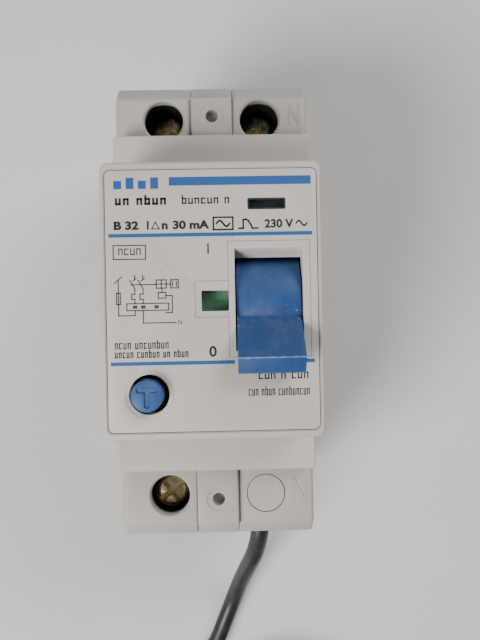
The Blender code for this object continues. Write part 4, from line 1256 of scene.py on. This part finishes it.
def rail_clip():
    """The sliding rail clip with softened edges and grip ribs on its tab."""
    low, high = corners_of("din_clip")
    lo, hi = low[1], high[1]
    clip = piece("rail_clip", block((-6.2, lo, 2.5), (6.2, hi - 1.2, 4.3)))
    nose = [(hi - 3, 2.5), (hi - 3, 0.6), (hi - 1.6, 0.6), (hi, 2.6), (hi, 3.8), (hi - 0.5, 4.3), (hi - 3, 4.3)]
    ribs = [block((-4.0, lo + 4.6 + 1.2 * k, 0.3), (4.0, lo + 5.2 + 1.2 * k, 1.0)) for k in range(4)]
    shape_with(clip, joins=[prism(nose, -3.9, 3.9), block((-4.7, lo, 0.5), (4.7, hi - 2.8, 2.7))] + ribs)
    shape_with(clip, [prism(rounded(2.6, 0.8, 0.5, (0, lo + 2.6)), 0.0, 5.0, "Z")])
    soften(clip, 0.12, 2, 50)
    return finish_piece(clip, "clip", CLIP_GREY, "clip_plastic", "din_clip")


# --------------------------------------------------------- stage and camera

LAMPS = (("key_light", (-330, -290, 420), 300, 4.1), ("fill_light", (350, 330, 420), 340, 2.5))
LAMP_AIM = Vector((0, 0, 30))
ROOM_LIGHT = 0.19
LENS = 33.915
CAMERA_AT = Vector((2.403, -2.167, 157.224))
CAMERA_TILT = (0.124, -1.131, -1.085)


def make_stage():
    """A plain pale floor, soft overhead light and the camera."""
    floor = piece("floor", prism([(-900, -900), (900, -900), (900, 900), (-900, 900)], -1.0, -0.02, "Z"))
    made, tree, shader = blank_material("pale_floor")
    where = on_piece(tree)
    cloud = noise(tree, where, 40.0, 4.0)
    tree.links.new(mixed(tree, cloud, (0.70, 0.685, 0.665, 1), (0.74, 0.725, 0.705, 1)), shader.inputs["Base Color"])
    shader.inputs["Roughness"].default_value = 0.85
    bump(tree, shader, noise(tree, where, 900.0, 4.0), 0.00003)
    floor.data.materials.append(made)
    for name, place, size, watts in LAMPS:
        lamp = bpy.data.lights.new(name, "AREA")
        lamp.shape = "DISK"
        lamp.size = size * MM
        lamp.energy = watts
        obj = bpy.data.objects.new(name, lamp)
        bpy.context.scene.collection.objects.link(obj)
        obj.location = Vector(place) * MM
        obj.rotation_euler = (LAMP_AIM - Vector(place)).to_track_quat("-Z", "Y").to_euler()
    world = bpy.data.worlds.new("soft_room")
    world.use_nodes = True
    world.node_tree.nodes["Background"].inputs["Color"].default_value = (1.0, 0.985, 0.97, 1)
    world.node_tree.nodes["Background"].inputs["Strength"].default_value = ROOM_LIGHT
    bpy.context.scene.world = world
    lens = bpy.data.cameras.new("camera")
    lens.lens = LENS
    lens.sensor_width = 36.0
    lens.clip_start = 0.001
    camera = bpy.data.objects.new("camera", lens)
    bpy.context.scene.collection.objects.link(camera)
    camera.location = CAMERA_AT * MM
    camera.rotation_euler = Euler([radians(d) for d in CAMERA_TILT], "YXZ")
    camera.rotation_mode = "YXZ"
    bpy.context.scene.camera = camera


# ---------------------------------------------------- finishes of CAD nodes

NODE_FINISHES = {
    "left_housing": CASE, "right_housing": CASE, "middle_partition": CASE, "blanking_plug": CASE,
    "front_cover": NOSE, "front_plate": PLATE, "toggle_handle": HANDLE_BLUE, "test_button": BUTTON_BLUE,
    "din_clip": CLIP_GREY, "lead_bush": BLACK, "status_window": CLEAR, "trip_window": CLEAR,
    "trip_coil": COPPER, "test_contact_blade": COPPER, "circuit_board": BOARD, "arc_chute_frame": FIBRE,
    "test_resistor": FIBRE, "sensing_toroid": BLACK, "trip_relay": BLACK, "trip_lever": BLACK,
}


def shade_nodes():
    """Give every frame node a finish."""
    green, teal = ((0.22, 0.58, 0.33), (0.17, 0.48, 0.26)), ((0.36, 0.56, 0.60), (0.24, 0.42, 0.47))
    special = {
        "status_flag": flag_finish("status_flag_paint", green, MIDDLE_Y - 2.2, False, 0.6, (0.4, 0.6)),
        "trip_flag": flag_finish("trip_flag_paint", teal, TRIP_HIGH[1] - 0.2, True, 0.8, (0.3, 0.5)),
        "neutral_lead_ferrule": shade_ferrule(), "neutral_lead": WIRE, "neutral_lead_coil": WIRE,
    }
    for name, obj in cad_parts.items():
        if name in special:
            finish = special[name]
        elif name in NODE_FINISHES:
            finish = NODE_FINISHES[name]
        elif "contact" in name or "terminal_bar" in name:
            finish = COPPER
        elif name.startswith("terminal") or name == "calibration_screw":
            finish = YELLOW_ZINC
        else:
            finish = STEEL
        obj.data.materials.clear()
        obj.data.materials.append(finish)


# ------------------------------------------------------------------ assembly

shade_nodes()
make_stage()
case_half(-1)
case_half(1)
partition()
blanking_plug()
front_cover()
front_plate()
window_frame()
blue_print()
black_print()
circuit_print()
frame_lines()
moulded_letters()
handle_shell()
button_cap()
button_spring()
rail_clip()
for label, _ in TERMINALS:
    terminal_screw(label)
    terminal_well(label)
lead, lead_length = make_lead()
tie = coil_tie()
